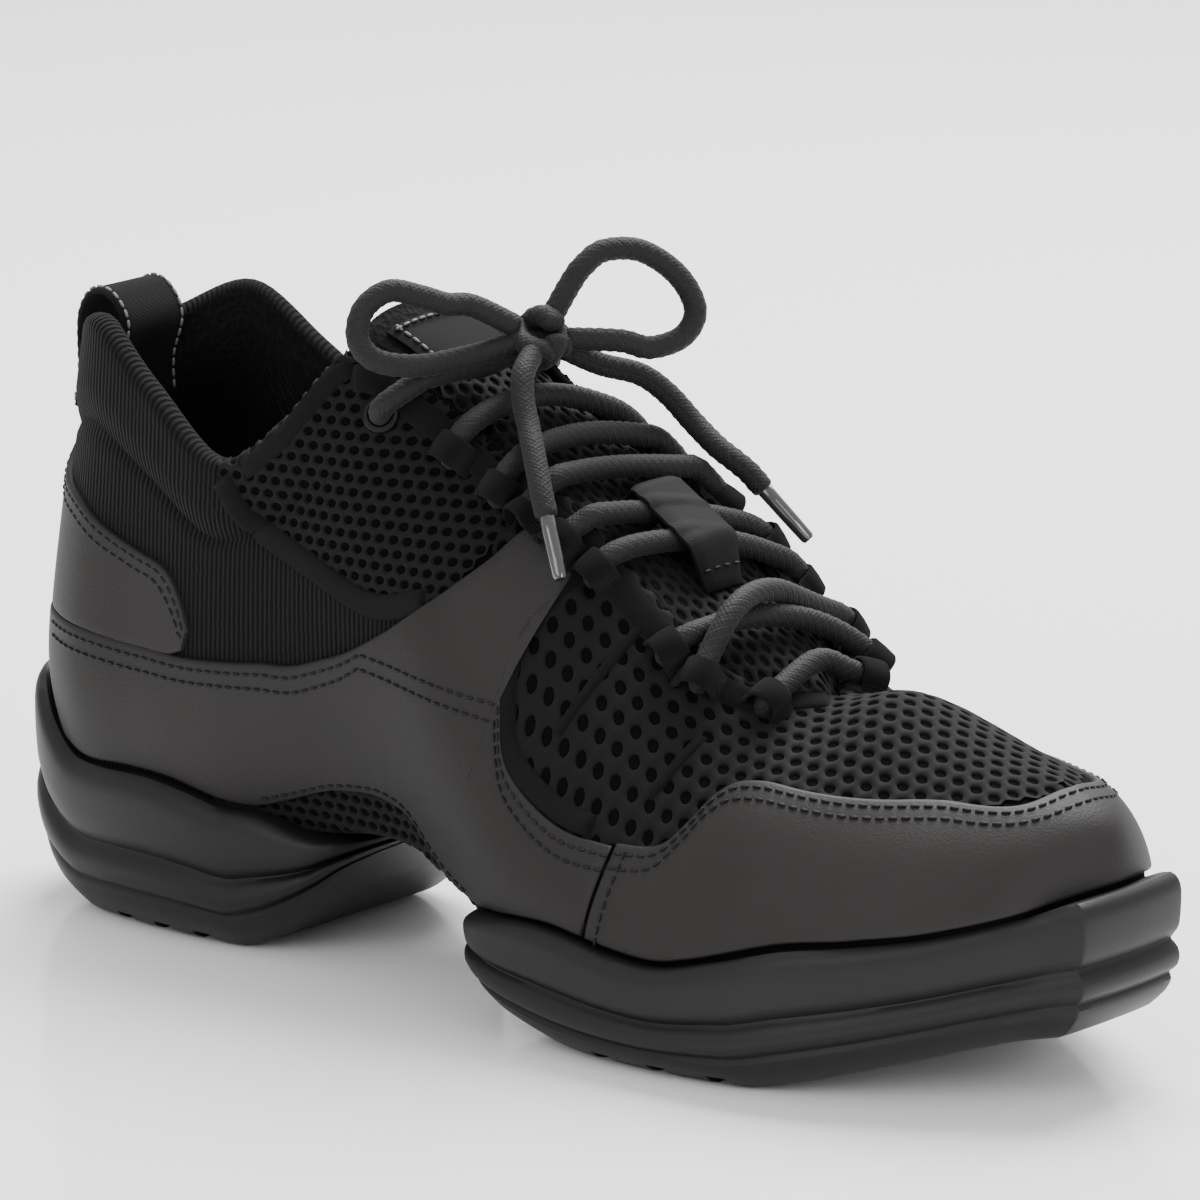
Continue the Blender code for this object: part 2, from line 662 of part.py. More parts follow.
def add_tongue():
    stations = [(ROW["instep_top"], TONGUE_TOP_RISE)]
    stations += [(float(u), np.zeros(3)) for u in np.linspace(ROW["instep_top"] + 0.3, THROAT_END - 0.06, 12)]
    stations.append((THROAT_END - 0.06, TONGUE_TIP_REACH))
    outer = []
    inner = []
    for u, move in stations:
        narrow = 1 - TONGUE_TOP_NARROWING * (1 - smooth_step(ROW["instep_top"], ROW["waist"], u))
        steps = [q * narrow for q in TONGUE_STEPS]
        moves = [move * (1 - smooth_step(0.30, 0.70, abs(q))) for q in steps]
        seat = TONGUE_SEAT + TONGUE_TIP_DROP * smooth_step(THROAT_END - 1.2, THROAT_END - 0.2, u)
        outer.append([across_throat(u, q, -seat) + m for q, m in zip(steps, moves)])
        inner.append([
            across_throat(u, q, -seat - TONGUE_THICKNESS * (1 - 0.65 * abs(q) ** 3)) + m
            for q, m in zip(steps, moves)])
    thickness = np.array(inner) - np.array(outer)
    outer = settle(outer, surface("upper"))
    return add_solid("tongue", sheet_faces(outer, outer + thickness), "mesh_textile")


INSOLE_U = [float(u) for u in np.linspace(0, TOE, 17)]
add_insole()
add_tongue()


# Overlays: leather pieces sewn on the upper. A place on the last is s and w, where s is u on the
# lateral side, below 0 on the medial side past the heel, and above TOE on it past the toe.

OVERLAY_LIFT = 0.0012
TOE_CAP = (
    # lower s, upper s, upper w
    (10.70, 10.85, .54), (10.98, 11.10, .61), (11.20, 11.30, .68), (11.55, 11.60, .71),
    (12.40, 12.40, .69), (13.20, 13.20, .69), (14.00, 14.00, .72), (15.00, 15.00, .78), (16.00, 16.00, .86),
)
TOE_CAP_SEAM = (.643, .655, .342)
# Side panel: lower and upper edge, x as a share of LENGTH, z of INSTEP_HEIGHT, 0 on the sole's lip
SADDLE = (
    (.084, .000, .038, .488), (.115, .000, .089, .486), (.156, .000, .148, .480), (.204, .000, .200, .476),
    (.248, .000, .248, .480), (.281, .250, .293, .492), (.315, .274, .333, .504), (.352, .301, .378, .540),
    (.385, .310, .419, .589), (.415, .306, .456, .645), (.437, .290, .489, .710), (.456, .254, .515, .766),
    (.474, .222, .552, .706), (.495, .200, .535, .637), (.519, .000, .530, .565), (.541, .000, .535, .500),
    (.570, .000, .552, .419), (.606, .000, .602, .354), (.640, .000, .652, .337),
)
# Heel counter above the side panels, from its front corner to the middle of the back
COUNTER = (
    (.217, .496, .222, .520), (.200, .484, .212, .570), (.170, .486, .196, .612), (.133, .491, .168, .630),
    (.089, .498, .120, .664), (.055, .500, .078, .700), (.040, .500, .056, .722),
)
COUNTER_BACK = (.500, .774)
HEEL_FOXING = ((1.56, .66), (0.80, .35), (0.00, .00))
FOXING_LIFT = 0.0012
FOXING_TOP = .488


def place(s):
    """Side and u of a place on the last."""
    if s < 0:
        return 1, -s
    if s > TOE:
        return 1, 2 * TOE - s
    return -1, s


def on_last(s, w, depth):
    side, u = place(s)
    return at_depth(side, u, w, depth)


def lip_height(x):
    if x < HEEL_LIP[-1][0] * LENGTH:
        return read_line(HEEL_LIP, x)
    return read_line(FOREFOOT_LIP, x)


def lip_w(s, lift=0.0):
    """The w at which the last comes out of the sole at s."""
    side, u = place(s)
    w = 0.3
    for _ in range(4):
        w = find_w(side, u, lip_height(last(side, u, w)[0]) + OVERLAY_LIFT + lift)
    return w


def side_mark(side, x_share, z_share):
    """s and w of a point of the side, or of the sole's lip where its height share is 0."""
    x = x_share * LENGTH
    z = z_share * INSTEP_HEIGHT if z_share else lip_height(x) + OVERLAY_LIFT
    u, w = find_uw(side, x, z)
    return (u if side < 0 else -u), w


def add_overlay(name, pairs, columns, rows, under, finish="leather"):
    """A sheet on the pieces under it between two lines of places, given in pairs."""
    table = np.array([(*low, *high) for low, high in pairs])
    padded = np.vstack([2 * table[:1] - table[1:2], table, 2 * table[-1:] - table[-2:-1]])
    inner = []
    out = []
    for t in np.linspace(0, len(pairs) - 1, columns):
        low_s, low_w, high_s, high_w = spline(padded, float(t))
        marks = [
            (low_s + (high_s - low_s) * k / rows, low_w + (high_w - low_w) * k / rows)
            for k in range(rows + 1)]
        inner.append([on_last(s, w, GAP) for s, w in marks])
        out.append([normal(*place(s), w) for s, w in marks])
    inner = settle(inner, surface(*under))
    return add_solid(name, sheet_faces(inner + np.array(out) * OVERLAY, inner), finish)


def add_toe_cap():
    seam = [
        (side_mark(side, TOE_CAP_SEAM[0], 0), side_mark(side, *TOE_CAP_SEAM[1:])) for side in (-1, 1)]
    near = [((low, lip_w(low)), (high, w)) for low, high, w in TOE_CAP]
    far = [((2 * TOE - low, lip_w(2 * TOE - low)), (2 * TOE - high, w)) for low, high, w in TOE_CAP[-2::-1]]
    last_pair = [tuple((2 * TOE + s, w) for s, w in seam[1])]
    return add_overlay("toe_cap", [seam[0]] + near + far + last_pair, 31, 4, ("upper", "outsole_forefoot"))


def add_saddle(name, side):
    pairs = [
        (side_mark(side, low_x, low_z), side_mark(side, high_x, high_z))
        for low_x, low_z, high_x, high_z in SADDLE]
    return add_overlay(name, pairs, 29, 4, ("upper", "outsole_heel", "outsole_forefoot"))


def add_counter():
    sides = []
    for side in (-1, 1):
        sides.append([
            (side_mark(side, low_x, low_z), side_mark(side, high_x, high_z))
            for low_x, low_z, high_x, high_z in COUNTER])
    low, high = [find_w(-1, 0.0, share * INSTEP_HEIGHT) for share in COUNTER_BACK]
    pairs = sides[0] + [((0.0, low), (0.0, high))] + sides[1][::-1]
    return add_overlay("heel_counter", pairs, 25, 3, ("upper",))


def add_heel_foxing():
    rows = [
        ((low, lip_w(low, FOXING_LIFT)), (high, find_w(-1, high, FOXING_TOP * INSTEP_HEIGHT)))
        for low, high in HEEL_FOXING]
    pairs = rows + [((-low[0], low[1]), (-high[0], high[1])) for low, high in rows[-2::-1]]
    return add_overlay("heel_foxing", pairs, 11, 3, ("upper", "outsole_heel"))


add_toe_cap()
add_saddle("saddle_lateral", -1)
add_saddle("saddle_medial", 1)
add_counter()
add_heel_foxing()


# Eyelets: two plastic rings at the top of the throat

EYELET_MARK = (.380, .908)
EYELET_SEAT = 0.0007
RING_SEGMENTS = 14


def add_eyelet(name, side):
    s, w = side_mark(side, *EYELET_MARK)
    u = place(s)[1]
    out = normal(side, u, w)
    along = last(side, u + 0.05, w) - last(side, u, w)
    along -= out * np.dot(along, out)
    along /= np.linalg.norm(along)
    across = np.cross(out, along)
    middle = last(side, u, w)
    profile = (
        (EYELET_RADIUS, EYELET_SEAT),
        (EYELET_RADIUS * 0.93, EYELET_SEAT + EYELET_RING_HEIGHT * 0.7),
        (EYELET_HOLE_RADIUS * 1.35, EYELET_SEAT + EYELET_RING_HEIGHT),
        (EYELET_HOLE_RADIUS, EYELET_SEAT),
    )
    angles = [2 * math.pi * k / RING_SEGMENTS for k in range(RING_SEGMENTS)]
    rings = []
    for radius, height in profile:
        rings.append([
            middle + out * height + along * radius * math.cos(a) + across * radius * math.sin(a)
            for a in angles])
    return add_solid(name, body_faces(rings + rings[:1]), "eyelet_plastic")


# Pull loop: a webbing strap from the counter's top over the collar's back to the inside

BACK_RADIUS = HEEL_WIDTH * 0.42


def loop_path():
    """Middle line of the strap at the back, from outside the collar to inside, in x and z."""
    half = LOOP_THICKNESS / 2
    clear = GAP + half
    outside = [at_depth(-1, 0.0, w, clear + OVERLAY * 0.3) for w in (0.84, 0.93)]
    inside = [at_depth(-1, 0.0, w, -wall(0.0, w) - clear) for w in (0.97, 0.88)]
    top = last(-1, 0.0, 1.0)
    arch = [
        top + (-.0020, 0.0, LOOP_RISE * 0.55), top + (.0015, 0.0, LOOP_RISE),
        top + (.0065, 0.0, LOOP_RISE * 0.95), top + (.0098, 0.0, LOOP_RISE * 0.45),
    ]
    return np.array(outside + arch + inside)


def add_pull_loop():
    marks = loop_path()
    padded = np.vstack([2 * marks[:1] - marks[1:2], marks, 2 * marks[-1:] - marks[-2:-1]])
    path = [spline(padded, float(t)) for t in np.linspace(0, len(marks) - 1, 18)]
    inner = []
    out = []
    for k, point in enumerate(path):
        share = k / (len(path) - 1)
        ahead = path[min(k + 1, len(path) - 1)] - path[max(k - 1, 0)]
        away = np.array([-ahead[2], 0.0, ahead[0]]) / np.linalg.norm(ahead)
        sewn = 1 - smooth_step(0.10, 0.30, share) + smooth_step(0.70, 0.90, share)
        radius = BACK_RADIUS - COLLAR_PAD * smooth_step(0.45, 0.55, share)
        bends = [
            (np.array([(radius - math.sqrt(radius ** 2 - y * y)) * sewn, y, 0.0]))
            for y in np.linspace(-LOOP_WIDTH / 2, LOOP_WIDTH / 2, 4)]
        inner.append([point - away * LOOP_THICKNESS / 2 + bend for bend in bends])
        out.append([away for _ in bends])
    inner = settle(inner, surface("upper", "heel_counter"))
    outer = inner + np.array(out) * LOOP_THICKNESS
    return add_solid("heel_pull_loop", sheet_faces(outer, inner), "webbing")


# Tongue label and lace keeper, both sewn on the tongue

LABEL = {"u": (6.08, 7.00), "q": .24, "thickness": 0.0008}
KEEPER_U = (9.00, 10.04)
KEEPER_RISE = 0.20


def add_tongue_label():
    inner = []
    for u in np.linspace(*LABEL["u"], 5):
        steps = np.linspace(-LABEL["q"], LABEL["q"], 5)
        inner.append([across_throat(float(u), float(q), 0.0) for q in steps])
    inner = settle(inner, surface("tongue"))
    outer = inner + (0.0, 0.0, LABEL["thickness"])
    return add_solid("tongue_label", sheet_faces(outer, inner), "leather")


def add_lace_keeper():
    half_q = KEEPER_WIDTH / 2 / (BALL_WIDTH * 0.61)
    inner = []
    for t in np.linspace(0, 1, 12):
        u = KEEPER_U[0] + (KEEPER_U[1] - KEEPER_U[0]) * float(t)
        rise = smooth_step(0.0, KEEPER_RISE, t) * (1 - smooth_step(1 - KEEPER_RISE, 1.0, t))
        depth = rise * (WALL + LACE_DIAMETER + 3 * GAP)
        steps = [float(q) for q in np.linspace(-half_q, half_q, 3)]
        inner.append([across_throat(u, q, depth) for q in steps])
    inner = settle(inner, surface("tongue", "lace_keeper_upper", "lace_keeper_lower"))
    outer = inner + (0.0, 0.0, KEEPER_THICKNESS)
    return add_solid("lace_keeper", sheet_faces(outer, inner), "leather")


# Laces: the runs across the throat are solids, and the bow is a cord. A run goes from one place of
# the throat to another, each given by its u and its q across the throat.

LACE_RUNS = {
    "lace_toe_bar": ((11.35, -.50, 11.72, .50),),
    "lace_low_cross": ((10.22, -.50, 11.22, .50), (10.66, -.50, 10.62, .50)),
    "lace_keeper_upper": ((8.95, -.50, 9.70, .41),),
    "lace_keeper_lower": ((9.32, -.50, 10.04, .50),),
    "lace_high_upper": ((8.08, -.50, 8.60, .50),),
    "lace_high_lower": ((8.48, -.50, 9.10, .50),),
    "lace_top_cross": ((7.42, -.50, 8.15, .50),),
}
RUN_POINTS = 8
# The last two runs come up through the top eyelets and go into the knot
KNOT_RUNS = {"knot_run_lateral": (6.66, -.42, 7.28, -.10), "knot_run_medial": (6.66, .42, 7.28, .10)}
# The bow lies where it was tied: its points are chosen by hand, in metres
KNOT_PLACE = np.array([0.1236, 0.0006, 0.1270])
KNOT_SIZE = np.array([0.0072, 0.0066, 0.0066])
BOW = {
    "bow_loop_medial": (
        (.1262, .0068, .1372), (.1276, .0092, .1406), (.1297, .0130, .1432), (.1343, .0188, .1428),
        (.1392, .0240, .1378), (.1424, .0256, .1312), (.1418, .0226, .1262), (.1384, .0166, .1244),
        (.1350, .0112, .1262)),
    "bow_loop_lateral": (
        (.1148, -.0092, .1338), (.1122, -.0140, .1346), (.1089, -.0182, .1364), (.1047, -.0226, .1376),
        (.1020, -.0270, .1344), (.1026, -.0296, .1290), (.1058, -.0282, .1250), (.1112, -.0228, .1236),
        (.1150, -.0130, .1240)),
    "lace_end_lateral": (
        (.1280, -.0100, .1221), (.1303, -.0128, .1178), (.1333, -.0149, .1136),
        (.1374, -.0184, .1099), (.1408, -.0212, .1062), (.1434, -.0232, .1030), (.1452, -.0243, .1002)),
    "lace_end_medial": (
        (.1296, .0116, .1208), (.1343, .0184, .1182), (.1380, .0226, .1140),
        (.1424, .0250, .1086), (.1480, .0252, .1046), (.1520, .0258, .1022), (.1546, .0270, .1000),
        (.1566, .0280, .0976)),
}
AGLET_RADIUS = 0.0016
AGLET_LENGTH = 0.014
AGLETS = {
    "aglet_lateral": "lace_end_lateral",
    "aglet_medial": "lace_end_medial",
}
CORD_SPACING = 2.3


def add_tube(name, points, radius, finish):
    """A round cord through points, as a bevelled poly curve with closed ends."""
    line = bpy.data.curves.new(name, "CURVE")
    line.dimensions = "3D"
    line.bevel_depth = radius
    line.bevel_resolution = 2
    line.use_fill_caps = True
    route = line.splines.new("POLY")
    route.points.add(len(points) - 1)
    for target, point in zip(route.points, points):
        target.co = (*point, 1.0)
    made = bpy.data.objects.new(name, line)
    PARTS.objects.link(made)
    add_material(made, finish)
    return made


def smooth_route(points, diameter):
    """Even points along a smooth curve through a cord's route."""
    marks = np.array(points)
    padded = np.vstack([2 * marks[:1] - marks[1:2], marks, 2 * marks[-1:] - marks[-2:-1]])
    fine = [spline(padded, t) for t in np.linspace(0, len(marks) - 1, 400)]
    lengths = np.concatenate([[0], np.cumsum([np.linalg.norm(b - a) for a, b in zip(fine, fine[1:])])])
    count = max(int(round(lengths[-1] / (diameter * CORD_SPACING))), 2)
    return [fine[int(np.searchsorted(lengths, lengths[-1] * k / count - 1e-9))] for k in range(count + 1)]


def to_mesh(tube):
    """Turn a tube into a closed mesh object of the same name."""
    evaluated = tube.evaluated_get(bpy.context.evaluated_depsgraph_get())
    mesh = bpy.data.meshes.new_from_object(evaluated)
    name = tube.name
    bpy.data.objects.remove(tube, do_unlink=True)
    made = bpy.data.objects.new(name, mesh)
    PARTS.objects.link(made)
    clean(made)
    return made


def knot_root(toward):
    """Where a cord that heads for a place leaves the knot's surface."""
    heading = np.array(toward) - KNOT_PLACE
    heading /= np.linalg.norm(heading)
    return KNOT_PLACE + heading * (1 / np.linalg.norm(heading / KNOT_SIZE) + SETTLE_CLEAR)


def bow_route(name):
    """Route of a cord of the bow, from the knot, and back to it where the cord is a loop."""
    marks = [knot_root(BOW[name][0]), *BOW[name]]
    if name.startswith("bow_loop"):
        marks.append(knot_root(BOW[name][-1]))
    return smooth_route(marks, LACE_DIAMETER)


def run_points(near_u, near_q, far_u, far_q):
    """Middle line of a lace that lies over the throat."""
    height = WALL + LACE_DIAMETER / 2 + 2 * GAP
    steps = [k / (RUN_POINTS - 1) for k in range(RUN_POINTS)]
    return [
        across_throat(near_u + (far_u - near_u) * t, near_q + (far_q - near_q) * t, height) for t in steps]


def add_lace_run(name, runs, under):
    tubes = []
    tree = surface(*under)
    for number, run in enumerate(runs):
        line = settle_line(run_points(*run), LACE_DIAMETER / 2, tree)
        tubes.append(add_tube(f"{name}_{number}", line, LACE_DIAMETER / 2, "lace"))
    bpy.context.view_layer.update()
    if len(tubes) == 1:
        tubes[0].name = name
        return
    first, second = [to_mesh(tube) for tube in tubes]
    cut(first, second, "UNION")
    first.name = name
    add_material(first, "lace")


def add_knot_run(name, run, under):
    line = settle_line(run_points(*run), LACE_DIAMETER / 2, surface(*under))
    line = np.vstack([line[:-1], knot_root(line[-1]), KNOT_PLACE])
    add_tube(name, line, LACE_DIAMETER / 2, "lace")


def add_knot():
    """The knot, in one solid with the two runs that come from the top eyelets."""
    bpy.context.view_layer.update()
    runs = [to_mesh(PARTS.objects[name]) for name in KNOT_RUNS]
    bpy.ops.mesh.primitive_uv_sphere_add(segments=12, ring_count=8, radius=1.0, location=KNOT_PLACE)
    knot = bpy.context.active_object
    knot.name = "lace_knot"
    knot.scale = KNOT_SIZE
    bpy.ops.object.transform_apply(location=False, rotation=False, scale=True)
    for holder in list(knot.users_collection):
        holder.objects.unlink(knot)
    PARTS.objects.link(knot)
    for run in runs:
        cut(knot, run, "UNION")
    knot.data.shade_smooth()
    add_material(knot, "lace")


add_eyelet("eyelet_lateral", -1)
add_eyelet("eyelet_medial", 1)
add_pull_loop()
add_tongue_label()
under_laces = [
    "upper", "tongue", "toe_cap", "saddle_lateral", "saddle_medial", "eyelet_lateral", "eyelet_medial"]
for run_name, run_ends in LACE_RUNS.items():
    add_lace_run(run_name, run_ends, under_laces)
    under_laces.append(run_name)
for run_name, run_ends in KNOT_RUNS.items():
    add_knot_run(run_name, run_ends, under_laces)
    under_laces.append(run_name)
add_lace_keeper()
under_laces += ["lace_keeper", "tongue_label"]
cord_ends = {}
for cord_name in BOW:
    cord_line = settle_line(bow_route(cord_name), LACE_DIAMETER / 2, surface(*under_laces))
    add_tube(cord_name, cord_line, LACE_DIAMETER / 2, "lace")
    cord_ends[cord_name] = cord_line[-2:]
    under_laces.append(cord_name)
for aglet_name, cord_name in AGLETS.items():
    before, end = cord_ends[cord_name]
    heading = (end - before) / np.linalg.norm(end - before)
    start = end + heading * GAP * 1.2
    add_tube(aglet_name, (start, start + heading * AGLET_LENGTH), AGLET_RADIUS, "clear_tip")
add_knot()


# The origin is the middle of the shoe's box on the floor, laces of the bow not counted

def move_to_origin():
    bpy.context.view_layer.update()
    corners = []
    for piece in PARTS.objects:
        if piece.name not in BOW:
            corners += [piece.matrix_world @ Vector(corner) for corner in piece.bound_box]
    low = np.min(np.array(corners), axis=0)
    high = np.max(np.array(corners), axis=0)
    move = (-(low[0] + high[0]) / 2, -(low[1] + high[1]) / 2, -low[2])
    for piece in PARTS.objects:
        if piece.type == "MESH":
            for vertex in piece.data.vertices:
                vertex.co += Vector(move)
        else:
            for point in piece.data.splines[0].points:
                point.co += Vector((*move, 0.0))


move_to_origin()
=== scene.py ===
# The looks of a black dance sneaker with a split sole. Metres, +X to the toe, +Z up, +Y to the medial side.

import math

import bmesh
import bpy
import numpy as np
from mathutils import Euler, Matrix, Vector
from mathutils.bvhtree import BVHTree


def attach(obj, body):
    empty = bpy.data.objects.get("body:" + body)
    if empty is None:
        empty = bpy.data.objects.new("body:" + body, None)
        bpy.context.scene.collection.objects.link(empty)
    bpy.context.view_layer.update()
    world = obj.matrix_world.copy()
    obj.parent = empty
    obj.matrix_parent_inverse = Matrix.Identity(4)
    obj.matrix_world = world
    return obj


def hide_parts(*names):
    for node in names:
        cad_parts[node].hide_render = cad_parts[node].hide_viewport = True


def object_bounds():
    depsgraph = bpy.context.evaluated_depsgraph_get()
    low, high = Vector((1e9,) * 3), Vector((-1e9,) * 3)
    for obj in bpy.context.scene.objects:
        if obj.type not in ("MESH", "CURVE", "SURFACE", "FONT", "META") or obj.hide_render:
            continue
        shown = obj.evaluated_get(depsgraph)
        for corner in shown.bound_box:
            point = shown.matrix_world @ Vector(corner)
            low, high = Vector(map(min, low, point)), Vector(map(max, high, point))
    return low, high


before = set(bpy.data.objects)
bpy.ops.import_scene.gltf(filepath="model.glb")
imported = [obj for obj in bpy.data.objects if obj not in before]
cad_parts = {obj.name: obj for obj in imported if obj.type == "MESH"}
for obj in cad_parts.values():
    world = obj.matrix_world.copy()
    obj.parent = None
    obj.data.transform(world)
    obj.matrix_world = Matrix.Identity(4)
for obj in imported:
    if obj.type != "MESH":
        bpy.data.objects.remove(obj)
cad_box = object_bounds()


# Camera: a long lens from the shoe's lateral front, a little above it, with the whole shoe in a square frame.
# The place is worked out from the angle and the distance, about a fixed middle.

CAMERA_AZIMUTH = math.radians(39.0)
CAMERA_ELEVATION = math.radians(13.6)
CAMERA_TARGET = Vector((0.0025, 0.0039, 0.0762))
CAMERA_DISTANCE = 1.8
CAMERA_LENS = 276.0

camera_back = Vector((
    math.sin(CAMERA_AZIMUTH) * math.cos(CAMERA_ELEVATION),
    -math.cos(CAMERA_AZIMUTH) * math.cos(CAMERA_ELEVATION),
    math.sin(CAMERA_ELEVATION)))
camera_data = bpy.data.cameras.new("camera")
camera_data.lens = CAMERA_LENS
camera_data.sensor_width = 36.0
camera = bpy.data.objects.new("camera", camera_data)
camera.location = CAMERA_TARGET + camera_back * CAMERA_DISTANCE
camera.rotation_euler = camera_back.to_track_quat("Z", "Y").to_euler()
bpy.context.scene.collection.objects.link(camera)
bpy.context.scene.camera = camera


# Studio: a pale glossy table in front of a white wall of light, with one broad light above and behind
# the shoe, one from the front and a narrow one from the toe, which draw the leather's edges.

def linear(hex_colour):
    """sRGB hex to the linear colour that shaders take."""
    values = [int(hex_colour[i:i + 2], 16) / 255 for i in (1, 3, 5)]
    return tuple(v / 12.92 if v <= 0.04045 else ((v + 0.055) / 1.055) ** 2.4 for v in values) + (1.0,)


def add_node(tree, kind, settings=(), **links):
    """Add a shader or geometry node, set its properties and values, and link sockets to it."""
    node = tree.nodes.new(kind)
    for key, value in dict(settings).items():
        if hasattr(node, key):
            setattr(node, key, value)
        else:
            node.inputs[key].default_value = value
    for key, source in links.items():
        socket = node.inputs[int(key[1:])] if key[0] == "i" and key[1:].isdigit() else node.inputs[key]
        tree.links.new(source, socket)
    return node


def new_material(name, colour, roughness, **values):
    """A Principled material with plain values, which its own section then adds a pattern to."""
    material = bpy.data.materials.new(name)
    material.use_nodes = True
    shader = material.node_tree.nodes["Principled BSDF"]
    shader.inputs["Base Color"].default_value = linear(colour)
    shader.inputs["Roughness"].default_value = roughness
    for key, value in values.items():
        shader.inputs[key.replace("_", " ")].default_value = value
    return material


table_material = new_material("pale_table", "#FFFFFF", 0.12, Specular_IOR_Level=0.5)
bpy.ops.mesh.primitive_plane_add(size=9.0, location=(0.0, 0.0, 0.0))
table = bpy.context.active_object
table.name = "table"
table.data.materials.append(table_material)

world = bpy.data.worlds.new("studio")
bpy.context.scene.world = world
world.use_nodes = True
world.node_tree.nodes["Background"].inputs["Color"].default_value = linear("#FFFFFF")
world.node_tree.nodes["Background"].inputs["Strength"].default_value = 1.0

LIGHTS = {
    # name: place, size, power
    "top_back": ((-0.25, 0.75, 1.30), 1.0, 60.0),
    "front": ((0.10, -1.40, 0.95), 1.1, 12.0),
    "toe": ((1.50, -0.30, 0.55), 0.7, 9.0),
}
for light_name, (light_place, light_size, light_power) in LIGHTS.items():
    light_data = bpy.data.lights.new(light_name, "AREA")
    light_data.size = light_size
    light_data.energy = light_power
    light = bpy.data.objects.new(light_name, light_data)
    light.location = light_place
    light.rotation_euler = (Vector(light_place) - Vector((0, 0, 0.05))).to_track_quat("Z", "Y").to_euler()
    bpy.context.scene.collection.objects.link(light)


# The last: the form that every textile and leather piece is drawn over. u runs from the heel's back
# round a side to the toe, w from under the foot (-1) by the feather edge (0) to the top line (1).

LENGTH = 0.270
BALL_WIDTH = 0.092
HEEL_WIDTH = 0.062
INSTEP_HEIGHT = 0.124
GAP = 0.0003
WALL = 0.0020
COLLAR_PAD = 0.0065
HEEL_BACK = np.array([cad_box[0][0], 0.0019, 0.0])
SECTION_COLUMNS = (
    "foot_x", "foot_y", "foot_z", "low_x", "low_y", "low_z",
    "high_x", "high_y", "high_z", "top_x", "top_y", "top_z", "ball", "crown", "far",
)
SECTIONS = {
    "back":         (0.025, .00, .185, 0.018, .00, .403, 0.032, .00, .677, 0.048, .00, .903, 0.0, .00, 1.00),
    "back_corner":  (0.050, .51, .185, 0.041, .56, .403, 0.052, .50, .685, 0.066, .42, .935, 0.0, .00, 1.00),
    "heel_quarter": (0.102, .83, .177, 0.098, .93, .403, 0.102, .82, .710, 0.109, .77, .976, 0.0, .00, 1.00),
    "ear":          (0.169, .90, .177, 0.169, 1.0, .387, 0.169, .94, .661, 0.169, .89, .887, 0.0, .00, 1.00),
    "dip":          (0.241, .90, .185, 0.241, 1.0, .371, 0.241, .99, .597, 0.241, .94, .790, .05, .00, 1.00),
    "collar":       (0.303, .80, .210, 0.303, .97, .379, 0.300, .96, .629, 0.296, .85, .855, .10, .00, 1.00),
    "instep_top":   (0.363, .78, .234, 0.363, .93, .395, 0.359, .93, .694, 0.352, .63, 1.00, .16, .00, .98),
    "waist":        (0.422, .77, .234, 0.422, .91, .403, 0.419, .88, .661, 0.411, .50, .944, .35, .03, .96),
    "arch_front":   (0.485, .80, .194, 0.485, .92, .355, 0.482, .83, .597, 0.474, .42, .863, .70, .05, .93),
    "strap":        (0.555, .83, .137, 0.555, .95, .282, 0.552, .74, .548, 0.541, .39, .786, 1.0, .07, .92),
    "joint":        (0.629, .91, .105, 0.629, 1.0, .242, 0.626, .76, .468, 0.615, .41, .661, 1.0, .09, .93),
    "ball":         (0.700, .93, .097, 0.700, 1.0, .226, 0.696, .74, .419, 0.678, .37, .565, 1.0, .10, .96),
    "throat_end":   (.770, .89, .105, .774, .95, .242, .759, .67, .430, .726, .00, .528, 1.0, .09, .97),
    "vamp":         (.837, .78, .121, .841, .84, .266, .818, .58, .430, .778, .00, .550, 1.0, .09, .96),
    "toe_box":      (.894, .62, .145, .901, .66, .300, .876, .45, .430, .829, .00, .518, 1.0, .08, .96),
    "toe_corner":   (.941, .40, .165, .950, .43, .315, .928, .29, .430, .878, .00, .484, 1.0, .06, .98),
    "toe":          (.967, .00, .173, .978, .00, .306, .966, .00, .411, .926, .00, .464, 1.0, .03, 1.00),
}
SIDES = {"lateral": -1, "medial": 1}
ROW = {name: number for number, name in enumerate(SECTIONS)}
THROAT_END = ROW["throat_end"]
TOE = ROW["toe"]
UNDERSIDE = (
    (0.021, .161), (0.117, .153), (0.245, .161), (0.314, .194), (0.373, .222), (0.422, .226),
    (0.482, .185), (0.541, .133), (0.590, .101),
    (0.698, .085), (0.777, .093), (0.856, .113), (0.925, .140), (0.974, .150),
)
CROWN = (
    ("instep_top", 1.06), ("waist", .985), ("arch_front", .895), ("strap", .790), ("joint", .685),
    ("ball", .600), ("throat_end", .532),
)


def half_width(ball):
    """Half the last's width at a share of the way from the heel's to the ball's."""
    return (HEEL_WIDTH + (BALL_WIDTH - HEEL_WIDTH) * ball) / 2


def section_arrays():
    """Points of every section with a row more at both ends, then its crown's y and its far share."""
    points = []
    extras = []
    for values in SECTIONS.values():
        row = dict(zip(SECTION_COLUMNS, values))
        half = half_width(row["ball"])
        points.append([
            (row[p + "_x"] * LENGTH, row[p + "_y"] * half, row[p + "_z"] * INSTEP_HEIGHT)
            for p in ("foot", "low", "high", "top")])
        extras.append((row["crown"] * half, row["far"]))
    points = np.array(points)
    extras = np.array(extras)
    mirror = np.array([1.0, -1.0, 1.0])
    points = np.concatenate([points[1:2] * mirror, points, points[-2:-1] * mirror])
    extras = np.concatenate([extras[1:2], extras, extras[-2:-1]])
    return points, extras


POINTS, EXTRAS = section_arrays()


def between(a, b, c, d, f):
    """Catmull-Rom curve from b to c at the share f."""
    cubed = (3 * b - a - 3 * c + d) * f ** 3
    return 0.5 * (2 * b + (c - a) * f + (2 * a - 5 * b + 4 * c - d) * f * f + cubed)


